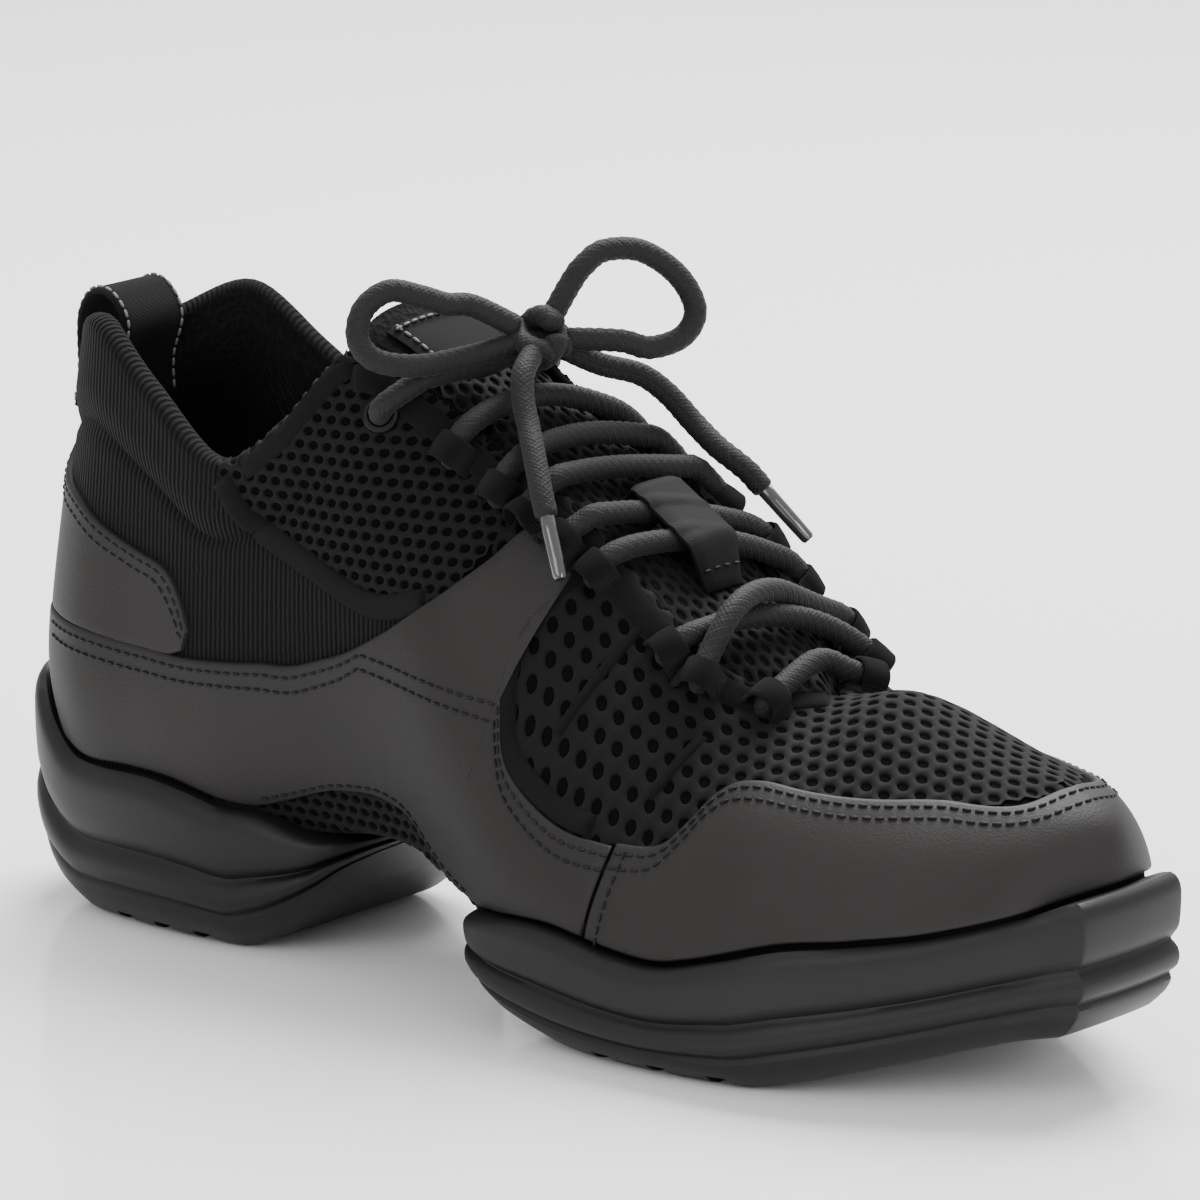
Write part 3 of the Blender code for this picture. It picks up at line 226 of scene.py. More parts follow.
def spline(rows, t):
    """Smooth curve through rows at every t, with one row more at each end."""
    t = np.atleast_1d(np.asarray(t, float))
    k = np.clip(np.floor(t).astype(int), 0, len(rows) - 4)
    f = (t - k).reshape((-1,) + (1,) * (rows.ndim - 1))
    return between(rows[k], rows[k + 1], rows[k + 2], rows[k + 3], f)


def on_ladder(ladder, t):
    """Points at t along each row of a ladder, with one rung more at each end."""
    k = np.clip(np.floor(t).astype(int), 0, ladder.shape[1] - 4)
    pick = np.arange(len(t))
    return between(*[ladder[pick, k + n] for n in range(4)], (t - k)[:, None])


def unit(vectors):
    """The same directions with length one."""
    return vectors / np.linalg.norm(vectors, axis=-1, keepdims=True)


def run_of(line):
    """How far along a line of points each of them is."""
    return np.concatenate([[0], np.cumsum(np.linalg.norm(np.diff(line, axis=0), axis=1))])


def flat(*values):
    """Values as float arrays of one length."""
    return [np.ravel(a).astype(float) for a in np.broadcast_arrays(*values)]


def smooth_step(low, high, value):
    """0 up to low and 1 from high on, with an easy way between them."""
    t = np.clip((np.asarray(value, float) - low) / (high - low), 0.0, 1.0)
    return t * t * (3 - 2 * t)


def padded(rows):
    """Rows with one more at each end in line with the last two."""
    rows = np.asarray(rows, float)
    return np.concatenate([2 * rows[:1] - rows[1:2], rows, 2 * rows[-1:] - rows[-2:-1]])


def read_line(line, x):
    """Height of a line of (x share, z share) rows at every x."""
    table = np.array(line) * (LENGTH, INSTEP_HEIGHT)
    x = np.clip(x, table[0, 0], table[-1, 0])
    k = np.clip(np.searchsorted(table[:, 0], x, side="right") - 1, 0, len(table) - 2)
    share = (x - table[k, 0]) / (table[k + 1, 0] - table[k, 0])
    return spline(padded(table[:, 1:]), k + share)[:, 0]


def last(side, u, w):
    """Points of the last. side is -1 for the lateral side and 1 for the medial one."""
    side, u, w = flat(side, u, w)
    sections = spline(POINTS, u)
    extras = spline(EXTRAS, u)
    foot, low, high, top = [sections[:, p].copy() for p in range(4)]
    widen = np.where(side < 0, 1.0, extras[:, 1])
    top[:, 1] = np.where(u >= THROAT_END, 0.0, top[:, 1])
    closed = smooth_step(THROAT_END - 1, THROAT_END, u)[:, None]
    beyond = (2 * top - high) * (1 - closed) + high * (1, -1, 1) * closed
    ladder = np.stack([2 * foot - low, foot, low, high, top, beyond], axis=1)
    point = on_ladder(ladder, 3 * np.clip(w, 0, 1))
    under = np.clip(-w, 0, 1)
    bend = smooth_step(0.55, 1.0, np.abs(2 * foot[:, 0] / LENGTH - 1)) * 0.16
    middle = np.stack([foot[:, 0] + (0.5 * LENGTH - foot[:, 0]) * bend, 0 * under, foot[:, 2]], axis=1)
    below = foot + (middle - foot) * under[:, None]
    drop = foot[:, 2] - read_line(UNDERSIDE, below[:, 0])
    below[:, 2] = foot[:, 2] - drop * (1 - (1 - np.minimum(under / 0.35, 1.0)) ** 2)
    point = np.where((w < 0)[:, None], below, point)
    lift = smooth_step(0.35, 1.0, w)
    y = side * point[:, 1] * (1 + (widen - 1) * (1 - lift)) + extras[:, 0] * lift
    return np.stack([point[:, 0], y, point[:, 2]], axis=1)


def normals(side, u, w):
    """Unit vectors out of the last."""
    side, u, w = flat(side, u, w)
    middle = (u <= 0) | (u >= TOE) | (w <= -1) | ((w >= 1) & (u >= THROAT_END))
    side = np.where(middle, -1.0, side)
    u0, u1 = np.maximum(u - 0.02, 0), np.minimum(u + 0.02, TOE)
    w0, w1 = np.maximum(w - 0.01, -1), np.minimum(w + 0.01, 1)
    along, up = last(side, u1, w) - last(side, u0, w), last(side, u, w1) - last(side, u, w0)
    out = np.cross(along, up) * -side[:, None]
    out[middle, 1] = 0.0
    out[w <= -1] = (0.0, 0.0, -1.0)
    return unit(out)


def at_depth(side, u, w, depth):
    """Points outside the last by depth, or inside it where depth is negative, in the last's own frame."""
    depth = np.ravel(np.broadcast_arrays(np.asarray(depth, float), np.ravel(u))[0])
    return last(side, u, w) + normals(side, u, w) * depth[:, None]


def wall(u, w):
    """Thickness of the upper, which is padded at the collar."""
    ankle = 1 - smooth_step(ROW["collar"], ROW["waist"], u)
    roll = smooth_step(0.70, 0.90, w) * (1 - 0.45 * smooth_step(0.93, 1.0, w))
    return WALL + (COLLAR_PAD - WALL) * ankle * roll


def crown_points(u):
    """Middle of the instep over the throat, between its two edges."""
    heights = spline(padded([[share] for _, share in CROWN]), np.asarray(u) - ROW["instep_top"])[:, 0]
    return np.stack([last(-1, u, 1.0)[:, 0], spline(EXTRAS, u)[:, 0], heights * INSTEP_HEIGHT], axis=1)


def across_throat(u, q, depth, underlap=0.30):
    """Points of the instep at q, from -1 under the lateral edge to 1 under the medial one."""
    u, q, depth = flat(u, q, depth)
    edges = (1 - underlap, 1 - underlap / 2, 1.0)
    near = [at_depth(-1, u, w, depth - wall(u, w)) for w in edges]
    middle = crown_points(u) + np.stack([0 * u, 0 * u, depth - WALL], axis=1)
    far = [at_depth(1, u, w, depth - wall(u, w)) for w in edges[::-1]]
    ladder = np.stack([2 * near[0] - near[1], *near, middle, *far, 2 * far[2] - far[1]], axis=1)
    return on_ladder(ladder, (q + 1) * 3)


def add_piece(name, vertices, faces, material, uv=None, slot=None, sharp=40, shift=HEEL_BACK):
    """A mesh piece from points in the last's own frame, welded and facing out, riding on the shoe."""
    mesh = bpy.data.meshes.new(name)
    mesh.from_pydata([tuple(v) for v in np.asarray(vertices) + shift], [], [tuple(f) for f in faces])
    if uv is not None:
        layer = mesh.uv_layers.new(name="surface")
        loops = np.empty(len(mesh.loops), dtype=np.int32)
        mesh.loops.foreach_get("vertex_index", loops)
        layer.data.foreach_set("uv", np.asarray(uv, float)[loops].ravel())
    body = bmesh.new()
    body.from_mesh(mesh)
    bmesh.ops.remove_doubles(body, verts=body.verts, dist=1e-6)
    bmesh.ops.recalc_face_normals(body, faces=body.faces)
    body.to_mesh(mesh)
    body.free()
    mesh.shade_smooth()
    mesh.set_sharp_from_angle(angle=math.radians(sharp))
    made = bpy.data.objects.new(name, mesh)
    bpy.context.scene.collection.objects.link(made)
    for each in material if isinstance(material, (list, tuple)) else [material]:
        mesh.materials.append(each)
    if slot:
        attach(made, "root")
    return made


def grid_faces(columns, rows, start=0, wrap=False, flip=False):
    """Faces between the columns and rows of a grid of points."""
    faces = []
    for i in range(columns if wrap else columns - 1):
        j = (i + 1) % columns
        for k in range(rows - 1):
            near, far = start + i * rows + k, start + j * rows + k
            face = (near, far, far + 1, near + 1)
            faces.append(face[::-1] if flip else face)
    return faces


def tube_faces(count, around, capped=False):
    """Faces between closed rings of points, and over the first and last ring where it is capped."""
    faces = []
    for n in range(count - 1):
        for i in range(around):
            j = (i + 1) % around
            faces.append((n * around + i, n * around + j, (n + 1) * around + j, (n + 1) * around + i))
    if capped:
        faces.append(tuple(range(around))[::-1])
        faces.append(tuple((count - 1) * around + k for k in range(around)))
    return faces


def shell_faces(columns, rows, wrap=False):
    """Faces of a sheet with two sides, whose points are all outer ones and then all inner ones."""
    inner = columns * rows
    faces = grid_faces(columns, rows, 0, wrap) + grid_faces(columns, rows, inner, wrap, True)
    for i in range(columns if wrap else columns - 1):
        j = (i + 1) % columns
        a, b = i * rows, j * rows
        faces.append((a, inner + a, inner + b, b))
        faces.append((a + rows - 1, b + rows - 1, inner + b + rows - 1, inner + a + rows - 1))
    if not wrap:
        for i in (0, columns - 1):
            for k in range(rows - 1):
                a = i * rows + k
                faces.append((a, a + 1, inner + a + 1, inner + a))
    return faces


# Upper: one wall of textile, drawn over the last and turned in under it. The ankle is a ribbed knit over
# foam, the rest a dark backing that the sports mesh is laid on, and the inside a fine mesh lining.

UPPER_U = np.linspace(0.0, TOE, 129)
LASTING_MARGIN = 0.012
PUFF = 0.0013
COLLAR_SEAM = 0.80
SEAM_DEPTH = 0.0007
RIM_ROWS = 5
RIM_SHARE = 0.75
SOFT_SHEEN = 0.02
TAPE_LINE = ((68.5, 96.5), (75.8, 88.8), (90.6, 82.8), (108.0, 77.1), (122.0, 79.8))
KNIT_OUTLINE = (
    (-9, 20), (-9, 140), (66, 140), (66, 102), *TAPE_LINE, (126, 78), (126, 46), (60, 46), (60, 20))


def inside(outline, x, y):
    """True for every x and y that lies inside a closed outline."""
    hits = np.zeros(len(x), dtype=bool)
    for (ax, ay), (bx, by) in zip(outline, outline[1:] + outline[:1]):
        crosses = (ay > y) != (by > y)
        hits ^= crosses & (x < ax + (bx - ax) * (y - ay) / ((by - ay) or 1e-9))
    return hits


def ring_places(steps):
    """Side and u of every column round the shoe, from the heel by the lateral side and back."""
    sides = np.concatenate([-np.ones(len(steps)), np.ones(len(steps) - 2)])
    return sides, np.concatenate([steps, steps[-2:0:-1]])


def shade(tree, value, dark, light):
    """Vary the material's plain colour between a dark and a light share of itself."""
    socket = tree.nodes["Principled BSDF"].inputs["Base Color"]
    ramp = add_node(tree, "ShaderNodeValToRGB", (), Fac=value)
    for element, share in zip(ramp.color_ramp.elements, (dark, light)):
        element.color = [c * share for c in socket.default_value[:3]] + [1.0]
    tree.links.new(ramp.outputs[0], socket)


def textile_bump(material, kind, scale, strength, distance=0.0004, detail=2.0, stretch=(1, 1, 1)):
    """Relief from one texture on the piece's own surface coordinates, and painted shade and light from the
    same texture: darker in the relief's hollows, lighter on its crowns.
    """
    tree = material.node_tree
    shader = tree.nodes["Principled BSDF"]
    place = add_node(tree, "ShaderNodeTexCoord")
    turn = add_node(tree, "ShaderNodeMapping", {"Scale": stretch}, Vector=place.outputs["UV"])
    if kind == "WAVE":
        values = {"Scale": scale, "Distortion": 1.2, "Detail": detail, "Detail Scale": 2.0}
        value = add_node(tree, "ShaderNodeTexWave", values, Vector=turn.outputs[0]).outputs["Fac"]
    elif kind == "VORONOI":
        value = add_node(
            tree, "ShaderNodeTexVoronoi", {"Scale": scale}, Vector=turn.outputs[0]).outputs["Distance"]
    else:
        values = {"Scale": scale, "Detail": detail}
        value = add_node(tree, "ShaderNodeTexNoise", values, Vector=turn.outputs[0]).outputs["Fac"]
    bump = add_node(tree, "ShaderNodeBump", {"Strength": strength, "Distance": distance}, Height=value)
    tree.links.new(bump.outputs[0], shader.inputs["Normal"])
    # Painted shade and light: the colour follows the relief's height, darker in its hollows and lighter on
    # its crowns
    shade(tree, value, 0.45, 1.5)
    return material


# Ribbed knit: polyester ribs 1.2 mm apart, matt, with a soft sheen where the yarn catches the light, and
# painted shade in the ribs' hollows and painted light on their crowns
knit_textile = textile_bump(
    new_material("ribbed_knit", "#0B0B0C", 0.95, Sheen_Weight=SOFT_SHEEN, Specular_IOR_Level=0.12),
    "WAVE", 0.25, 0.8, 0.0004, 3.0)
# Backing: a tight dark tricot behind the open mesh, almost no light comes back from it
backing_textile = textile_bump(
    new_material("tricot_backing", "#030303", 1.0, Specular_IOR_Level=0.1), "NOISE", 2.0, 0.4)
# Lining: a fine perforated mesh, holes about 1.3 mm apart
lining_textile = textile_bump(
    new_material("mesh_lining", "#0B0B0C", 0.95, Sheen_Weight=SOFT_SHEEN, Specular_IOR_Level=0.12),
    "VORONOI", 0.75, 1.0, 0.0005)


def upper_rows(side, u):
    """Points of the columns, from the turned-in edge outside over the rim and down the inside."""
    feather = -last(-1, u, 0.0)[:, 1]
    margin = np.minimum(LASTING_MARGIN / np.maximum(feather, LASTING_MARGIN), 0.55)
    arch = smooth_step(ROW["collar"] - 0.6, ROW["collar"] - 0.1, u) * (
        1 - smooth_step(ROW["arch_front"] + 0.3, ROW["arch_front"] + 0.8, u))
    reach = margin + (1 - margin) * arch
    ws = [-reach * share for share in (1.0, 0.8, 0.6, 0.45, 0.3, 0.18)] + [-np.minimum(reach * 0.1, 0.04)]
    ws += [np.full(len(u), w) for w in np.linspace(0, 1, 41)]
    ankle = 1 - smooth_step(ROW["collar"] + 0.2, ROW["instep_top"] + 0.3, u)
    outer = []
    inner = []
    for w in ws:
        puff = PUFF * ankle * smooth_step(COLLAR_SEAM, COLLAR_SEAM + 0.08, w)
        groove = SEAM_DEPTH * ankle * np.exp(-((w - COLLAR_SEAM) / 0.016) ** 2)
        outer.append(at_depth(side, u, w, puff - groove))
        inner.append(at_depth(side, u, w, -wall(u, w)))
    rim = []
    top = outer[-1]
    under = inner[-1]
    rise = unit(last(side, u, 1.0) - last(side, u, 0.97))
    half = np.linalg.norm(top - under, axis=1, keepdims=True) / 2
    open_edge = (1 - smooth_step(THROAT_END - 0.5, THROAT_END, u))[:, None]
    for n in range(1, RIM_ROWS + 1):
        turn = math.pi * n / (RIM_ROWS + 1)
        across = (top - under) / 2 * math.cos(turn)
        rim.append((top + under) / 2 + across + rise * half * math.sin(turn) * RIM_SHARE * open_edge)
    return np.stack(outer + rim + inner[::-1], axis=1)


# The surface coordinates are true to size along this row, half way up the side
UV_ROW = 28
sides, us = ring_places(UPPER_U)
upper_points = upper_rows(sides, us)
columns, rows = upper_points.shape[:2]
run_u = run_of(upper_points[:, UV_ROW]) * 1000
run_v = np.stack([run_of(column) for column in upper_points]) * 1000
upper_uv = np.stack([np.repeat(run_u[:, None], rows, axis=1), run_v], axis=2).reshape(-1, 2)
upper_faces = grid_faces(columns, rows, 0, True)
for i in range(columns):
    j = (i + 1) % columns
    upper_faces.append((i * rows + rows - 1, j * rows + rows - 1, j * rows, i * rows))


def drop_twins(piece):
    """Remove pairs of faces that lie on each other inside a wall."""
    body = bmesh.new()
    body.from_mesh(piece.data)
    seen = {}
    for face in body.faces:
        seen.setdefault(frozenset(v.index for v in face.verts), []).append(face)
    twins = [face for faces in seen.values() if len(faces) > 1 for face in faces]
    bmesh.ops.delete(body, geom=twins, context="FACES")
    bmesh.ops.recalc_face_normals(body, faces=body.faces)
    if body.calc_volume(signed=True) < 0:
        bmesh.ops.reverse_faces(body, faces=body.faces)
    body.to_mesh(piece.data)
    body.free()


upper = add_piece(
    "upper_wall", upper_points.reshape(-1, 3), upper_faces, [backing_textile, knit_textile, lining_textile],
    upper_uv, "mesh_textile")
drop_twins(upper)
centres = np.array([tuple(p.center) for p in upper.data.polygons]) - HEEL_BACK
facing = np.array([tuple(p.normal) for p in upper.data.polygons])
knit = inside(KNIT_OUTLINE, centres[:, 0] * 1000, centres[:, 2] * 1000)
# A point inside the shoe for each face, which tells the faces that look out from the lining
axis_point = np.stack(
    [np.clip(centres[:, 0], 0.035, 0.235), np.full(len(centres), 0.004), 0.5 * centres[:, 2] + 0.02], axis=1)
outward = np.einsum("ij,ij->i", facing, centres - axis_point) > 0
index = np.where(outward, np.where(knit, 1, 0), 2)
upper.data.polygons.foreach_set("material_index", index.astype(np.int32))
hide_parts("upper")


def mesh_tree(*pieces):
    """Search tree over finished pieces."""
    body = bmesh.new()
    for piece in pieces:
        body.from_mesh(piece.data)
    tree = BVHTree.FromBMesh(body)
    body.free()
    return tree


upper_tree = mesh_tree(upper)


# Open sports mesh: a thick spacer knit with a brick pattern of oval holes, laid on the backing. The
# quarter's holes are small and close, and those of the vamp are wider apart.

def add_modifier_tree(name, inputs):
    """A geometry node tree with a geometry socket and the named inputs."""
    tree = bpy.data.node_groups.new(name, "GeometryNodeTree")
    tree.interface.new_socket("Geometry", in_out="INPUT", socket_type="NodeSocketGeometry")
    sockets = {}
    for label, kind in inputs.items():
        sockets[label] = tree.interface.new_socket(label, in_out="INPUT", socket_type=kind).identifier
    tree.interface.new_socket("Geometry", in_out="OUTPUT", socket_type="NodeSocketGeometry")
    return tree, sockets, tree.nodes.new("NodeGroupInput"), tree.nodes.new("NodeGroupOutput")


def run_modifier(name, base, tree, values):
    """Evaluate a tree on a mesh and return the result as a plain mesh object of its own."""
    holder = bpy.data.objects.new(name + "_base", base)
    bpy.context.scene.collection.objects.link(holder)
    modifier = holder.modifiers.new("pattern", "NODES")
    modifier.node_group = tree
    for identifier, value in values.items():
        modifier[identifier] = value
    bpy.context.view_layer.update()
    result = bpy.data.meshes.new_from_object(holder.evaluated_get(bpy.context.evaluated_depsgraph_get()))
    bpy.data.objects.remove(holder, do_unlink=True)
    made = bpy.data.objects.new(name, result)
    bpy.context.scene.collection.objects.link(made)
    return made


def add_copies(tree, group_in, group_out, shape, points, **turn):
    """The end of a tree: a copy of a shape on each point, made real, with its material."""
    info = add_node(tree, "GeometryNodeObjectInfo", (), Object=group_in.outputs[shape])
    copies = add_node(
        tree, "GeometryNodeInstanceOnPoints", (), Points=points, Instance=info.outputs["Geometry"], **turn)
    real = add_node(tree, "GeometryNodeRealizeInstances", (), Geometry=copies.outputs[0])
    finish = add_node(
        tree, "GeometryNodeSetMaterial", (), Geometry=real.outputs[0], Material=group_in.outputs["Material"])
    tree.links.new(finish.outputs[0], group_out.inputs[0])


net_tree, net_inputs, net_in, net_out = add_modifier_tree(
    "mesh_of_tiles", {"Tile": "NodeSocketObject", "Material": "NodeSocketMaterial"})
add_copies(net_tree, net_in, net_out, "Tile", net_in.outputs["Geometry"])

NET_HEIGHT = 0.00055
NET_SINK = 0.0002


def add_tile(name, pitch, row, hole_x, hole_y):
    """One cell of the mesh: a six-sided tile, crowned, with an oval hole that goes down to the backing."""
    side_y = (row ** 2 - pitch ** 2 / 4) / (2 * row)
    top_y = (row ** 2 + pitch ** 2 / 4) / (2 * row)
    half = pitch / 2
    corners = [(half, -side_y), (half, side_y), (0, top_y), (-half, side_y), (-half, -side_y), (0, -top_y)]
    edge = []
    for (ax, ay), (bx, by) in zip(corners, corners[1:] + corners[:1]):
        edge += [(ax, ay), ((ax + bx) / 2, (ay + by) / 2)]
    rings = [[(x, y, NET_HEIGHT) for x, y in edge]]
    for swell, height in ((1.22, NET_HEIGHT * 0.95), (1.0, NET_HEIGHT * 0.45), (0.97, -NET_SINK)):
        ring = []
        for x, y in edge:
            angle = math.atan2(y / hole_y, x / hole_x)
            ring.append((hole_x / 2 * swell * math.cos(angle), hole_y / 2 * swell * math.sin(angle), height))
        rings.append(ring)
    mesh = bpy.data.meshes.new(name)
    mesh.from_pydata([p for ring in rings for p in ring], [], tube_faces(len(rings), len(edge)))
    return bpy.data.objects.new(name, mesh)


def add_net(name, outline, pitch, row, hole, material, drape):
    """Tiles inside an outline, in millimetres, draped on the upper along one direction."""
    tile = add_tile(name + "_tile", pitch, row, *hole)
    low = np.min(outline, axis=0) / 1000
    high = np.max(outline, axis=0) / 1000
    places = []
    for n in range(int((high[1] - low[1]) / row) + 1):
        for m in range(int((high[0] - low[0]) / pitch) + 1):
            places.append((low[0] + (m + 0.5 * (n % 2)) * pitch, low[1] + n * row, 0.0))
    places = np.array(places)
    places = places[inside(outline, places[:, 0] * 1000, places[:, 1] * 1000)]
    base = bpy.data.meshes.new(name)
    base.from_pydata([tuple(p) for p in places], [], [])
    net = run_modifier(name, base, net_tree, {net_inputs["Tile"]: tile, net_inputs["Material"]: material})
    bpy.data.objects.remove(tile, do_unlink=True)
    body = bmesh.new()
    body.from_mesh(net.data)
    bmesh.ops.remove_doubles(body, verts=body.verts, dist=2e-5)
    layer = body.loops.layers.uv.verify()
    for face in body.faces:
        for loop in face.loops:
            loop[layer].uv = (loop.vert.co.x * 1000, loop.vert.co.y * 1000)
    missed = []
    for vertex in body.verts:
        spot, out = drape(vertex.co)
        if spot is None:
            missed.append(vertex)
        else:
            vertex.co = spot + out * vertex.co.z
    bmesh.ops.delete(body, geom=missed, context="VERTS")
    stretched = [f for f in body.faces if max(e.calc_length() for e in f.edges) > pitch * 1.5]
    bmesh.ops.delete(body, geom=stretched, context="FACES")
    bmesh.ops.recalc_face_normals(body, faces=body.faces)
    if sum(drape.sign(f) for f in body.faces) < 0:
        bmesh.ops.reverse_faces(body, faces=body.faces)
    body.to_mesh(net.data)
    body.free()
    net.data.shade_smooth()
    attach(net, "root")
    return net


# Rays start this far from the shoe's middle
FAR_OUT = 0.3


class Drape:
    """Where a flat pattern lands on the upper, seen from a side or from above."""

    def __init__(self, side, tree=upper_tree):
        self.side = side
        self.tree = tree
        self.ray = Vector((0, -side, 0)) if side else Vector((0, 0, -1))

    def __call__(self, place):
        if self.side:
            start = Vector((place.x, FAR_OUT * self.side, place.y))
        else:
            start = Vector((place.x, place.y, FAR_OUT))
        spot, out, _, _ = self.tree.ray_cast(start + Vector(HEEL_BACK), self.ray)
        if spot is None or out.dot(self.ray) > -0.12:
            return None, None
        if self.side and (spot.y - HEEL_BACK[1]) * self.side < 0.0:
            return None, None
        return spot, out

    def sign(self, face):
        return -face.normal.dot(self.ray) * face.calc_area() * 1e6


# Spacer knit: matt polyester yarn with a faint sheen, and painted light on the crowns and painted shade in
# the hollows of its relief
net_textile = textile_bump(
    new_material("open_mesh", "#0B0B0C", 0.85, Sheen_Weight=SOFT_SHEEN, Specular_IOR_Level=0.16),
    "WAVE", 1.1, 0.35, 0.0002, 2.0, stretch=(1, 0.6, 1))
QUARTER_OUTLINE = (
    (65, 101), (68, 97), (75, 89), (90, 83), (108, 77), (122, 77), (131, 90), (140, 102), (140, 132),
    (60, 132))
# The vamp's outline is seen from above, the others from a side
VAMP_OUTLINE = (
    (133, -13), (132, -22), (140, -27), (141, -35), (149, -40), (164, -44), (178, -45), (190, -41),
    (193, -34), (211, -31.5), (224, -27), (238, -19), (249, -8), (252.5, 2), (249, 12), (238, 24),
    (224, 32), (211, 36.5),
    (193, 39), (190, 45), (178, 48), (164, 47), (149, 43), (141, 38), (140, 31), (132, 28), (133, 20))
ARCH_OUTLINE = ((62, 18), (140, 18), (140, 46), (62, 46))
# A cell: its pitch, the row's pitch, and the hole's length and width
QUARTER_CELL = (0.0031, 0.0026, (0.0022, 0.0017))
VAMP_CELL = (0.0042, 0.0031, (0.0025, 0.0018))
for word, side in SIDES.items():
    add_net("quarter_mesh_" + word, QUARTER_OUTLINE, *QUARTER_CELL, net_textile, Drape(side))
add_net("vamp_mesh", VAMP_OUTLINE, *VAMP_CELL, net_textile, Drape(0))
for word, side in SIDES.items():
    add_net("arch_mesh_" + word, ARCH_OUTLINE, *QUARTER_CELL, net_textile, Drape(side))


# Overlays: smooth charcoal leather, 1.2 mm thick with rounded edges, sewn on with two rows of thread.
# They are the saddle panel on each side, the toe cap, the heel counter and the low piece at the heel.

OVERLAY = 0.0012
OVERLAY_LIFT = 0.0012
FOXING_LIFT = 0.0012
RIM_SINK = 0.0004
RIM_WIDTH = 0.0009
END_TURN = 0.0006
FOXING_TOP = .488
HEEL_LIP = (
    (0.000, .380), (0.032, .370), (0.064, .310), (0.101, .264), (0.181, .264), (0.219, .254),
    (0.255, .238), (0.285, .236), (0.329, .212), (0.366, .208),
)
FOREFOOT_LIP = (
    (.486, .160), (.510, .176), (.545, .188), (.590, .200), (.626, .196), (.659, .184),
    (.708, .178), (.759, .204), (.807, .234), (.856, .250), (.905, .270), (.955, .302),
    (.985, .328), (1.00, .332),
)
TOE_CAP = (
    (10.70, 10.85, .54), (10.98, 11.10, .61), (11.20, 11.30, .68), (11.55, 11.60, .71),
    (12.40, 12.40, .69), (13.20, 13.20, .69), (14.00, 14.00, .71), (15.00, 15.00, .72), (16.00, 16.00, .90),
)
TOE_CAP_SEAM = (.643, .655, .342)
SADDLE = (
    (.084, .000, .038, .488), (.115, .000, .089, .486), (.156, .000, .148, .480), (.204, .000, .200, .476),
    (.248, .000, .248, .480), (.281, .250, .293, .492), (.315, .274, .333, .504), (.352, .301, .378, .540),
    (.385, .310, .419, .589), (.415, .306, .456, .645), (.437, .290, .489, .710), (.456, .254, .515, .766),
    (.474, .222, .552, .706), (.495, .200, .535, .637), (.519, .000, .530, .565), (.541, .000, .535, .500),
    (.570, .000, .552, .419), (.606, .000, .602, .354), (.640, .000, .652, .337),
)
COUNTER = (
    (.217, .496, .222, .520), (.200, .484, .212, .570), (.170, .486, .196, .612), (.133, .491, .168, .630),
    (.089, .498, .120, .664), (.055, .500, .078, .700), (.040, .500, .056, .722),
)
COUNTER_BACK = (.500, .774)
HEEL_FOXING = ((1.56, .66), (0.80, .35), (0.00, .00))


def find_w(side, u, height):
    """The w at which the last's side passes a height, by halving."""
    low, high = np.zeros(len(u)), np.ones(len(u))
    for _ in range(24):
        middle = (low + high) / 2
        below = last(side, u, middle)[:, 2] < height
        low, high = np.where(below, middle, low), np.where(below, high, middle)
    return (low + high) / 2


def find_uw(side, x, z):
    """The u and w of the last's side points with these x and z."""
    u, w = np.full(len(x), 8.0), np.full(len(x), 0.5)
    for _ in range(60):
        point = last(side, u, w)
        du = (last(side, u + 0.01, w) - point) / 0.01
        up = np.where(w < 0.98, 0.01, -0.01)
        dw = (last(side, u, w + up) - point) / up[:, None]
        gap_x, gap_z = x - point[:, 0], z - point[:, 2]
        area = du[:, 0] * dw[:, 2] - dw[:, 0] * du[:, 2]
        step_u = (gap_x * dw[:, 2] - dw[:, 0] * gap_z) / area
        step_w = (du[:, 0] * gap_z - gap_x * du[:, 2]) / area
        u = np.clip(u + 0.6 * np.clip(step_u, -1.5, 1.5), 0.3, TOE - 0.3)
        w = np.clip(w + 0.6 * np.clip(step_w, -0.3, 0.3), 0.0, 1.0)
    return u, w


def mark_points(side, table):
    """s and w of a table's low edge and then of its high one."""
    return np.hstack([side_marks(side, table[:, 0], table[:, 1]), side_marks(side, table[:, 2], table[:, 3])])


def place(s):
    """Side and u of places on the last, where s runs past the heel and past the toe."""
    s = np.asarray(s, float)
    return np.where((s < 0) | (s > TOE), 1.0, -1.0), np.where(s < 0, -s, np.where(s > TOE, 2 * TOE - s, s))


def lip_height(x):
    """Height of the sole's upper edge."""
    return np.where(x < HEEL_LIP[-1][0] * LENGTH, read_line(HEEL_LIP, x), read_line(FOREFOOT_LIP, x))


def lip_w(s, lift=0.0):
    """The w at which the last comes out of the sole at s."""
    side, u = place(np.atleast_1d(s))
    w = np.full(len(u), 0.3)
    for _ in range(4):
        w = find_w(side, u, lip_height(last(side, u, w)[:, 0]) + OVERLAY_LIFT + lift)
    return w


def side_marks(side, x_share, z_share):
    """s and w of points of the side, or of the sole's lip where the height share is 0."""
    x, z = np.array(x_share) * LENGTH, np.array(z_share) * INSTEP_HEIGHT
    z = np.where(z == 0, lip_height(x) + OVERLAY_LIFT, z)
    u, w = find_uw(side, x, z)
    return np.stack([u * (1 if side < 0 else -1), w], axis=1)


def saddle_table(side):
    """Edge places of a side panel, from its back end to its front end."""
    return mark_points(side, np.array(SADDLE))


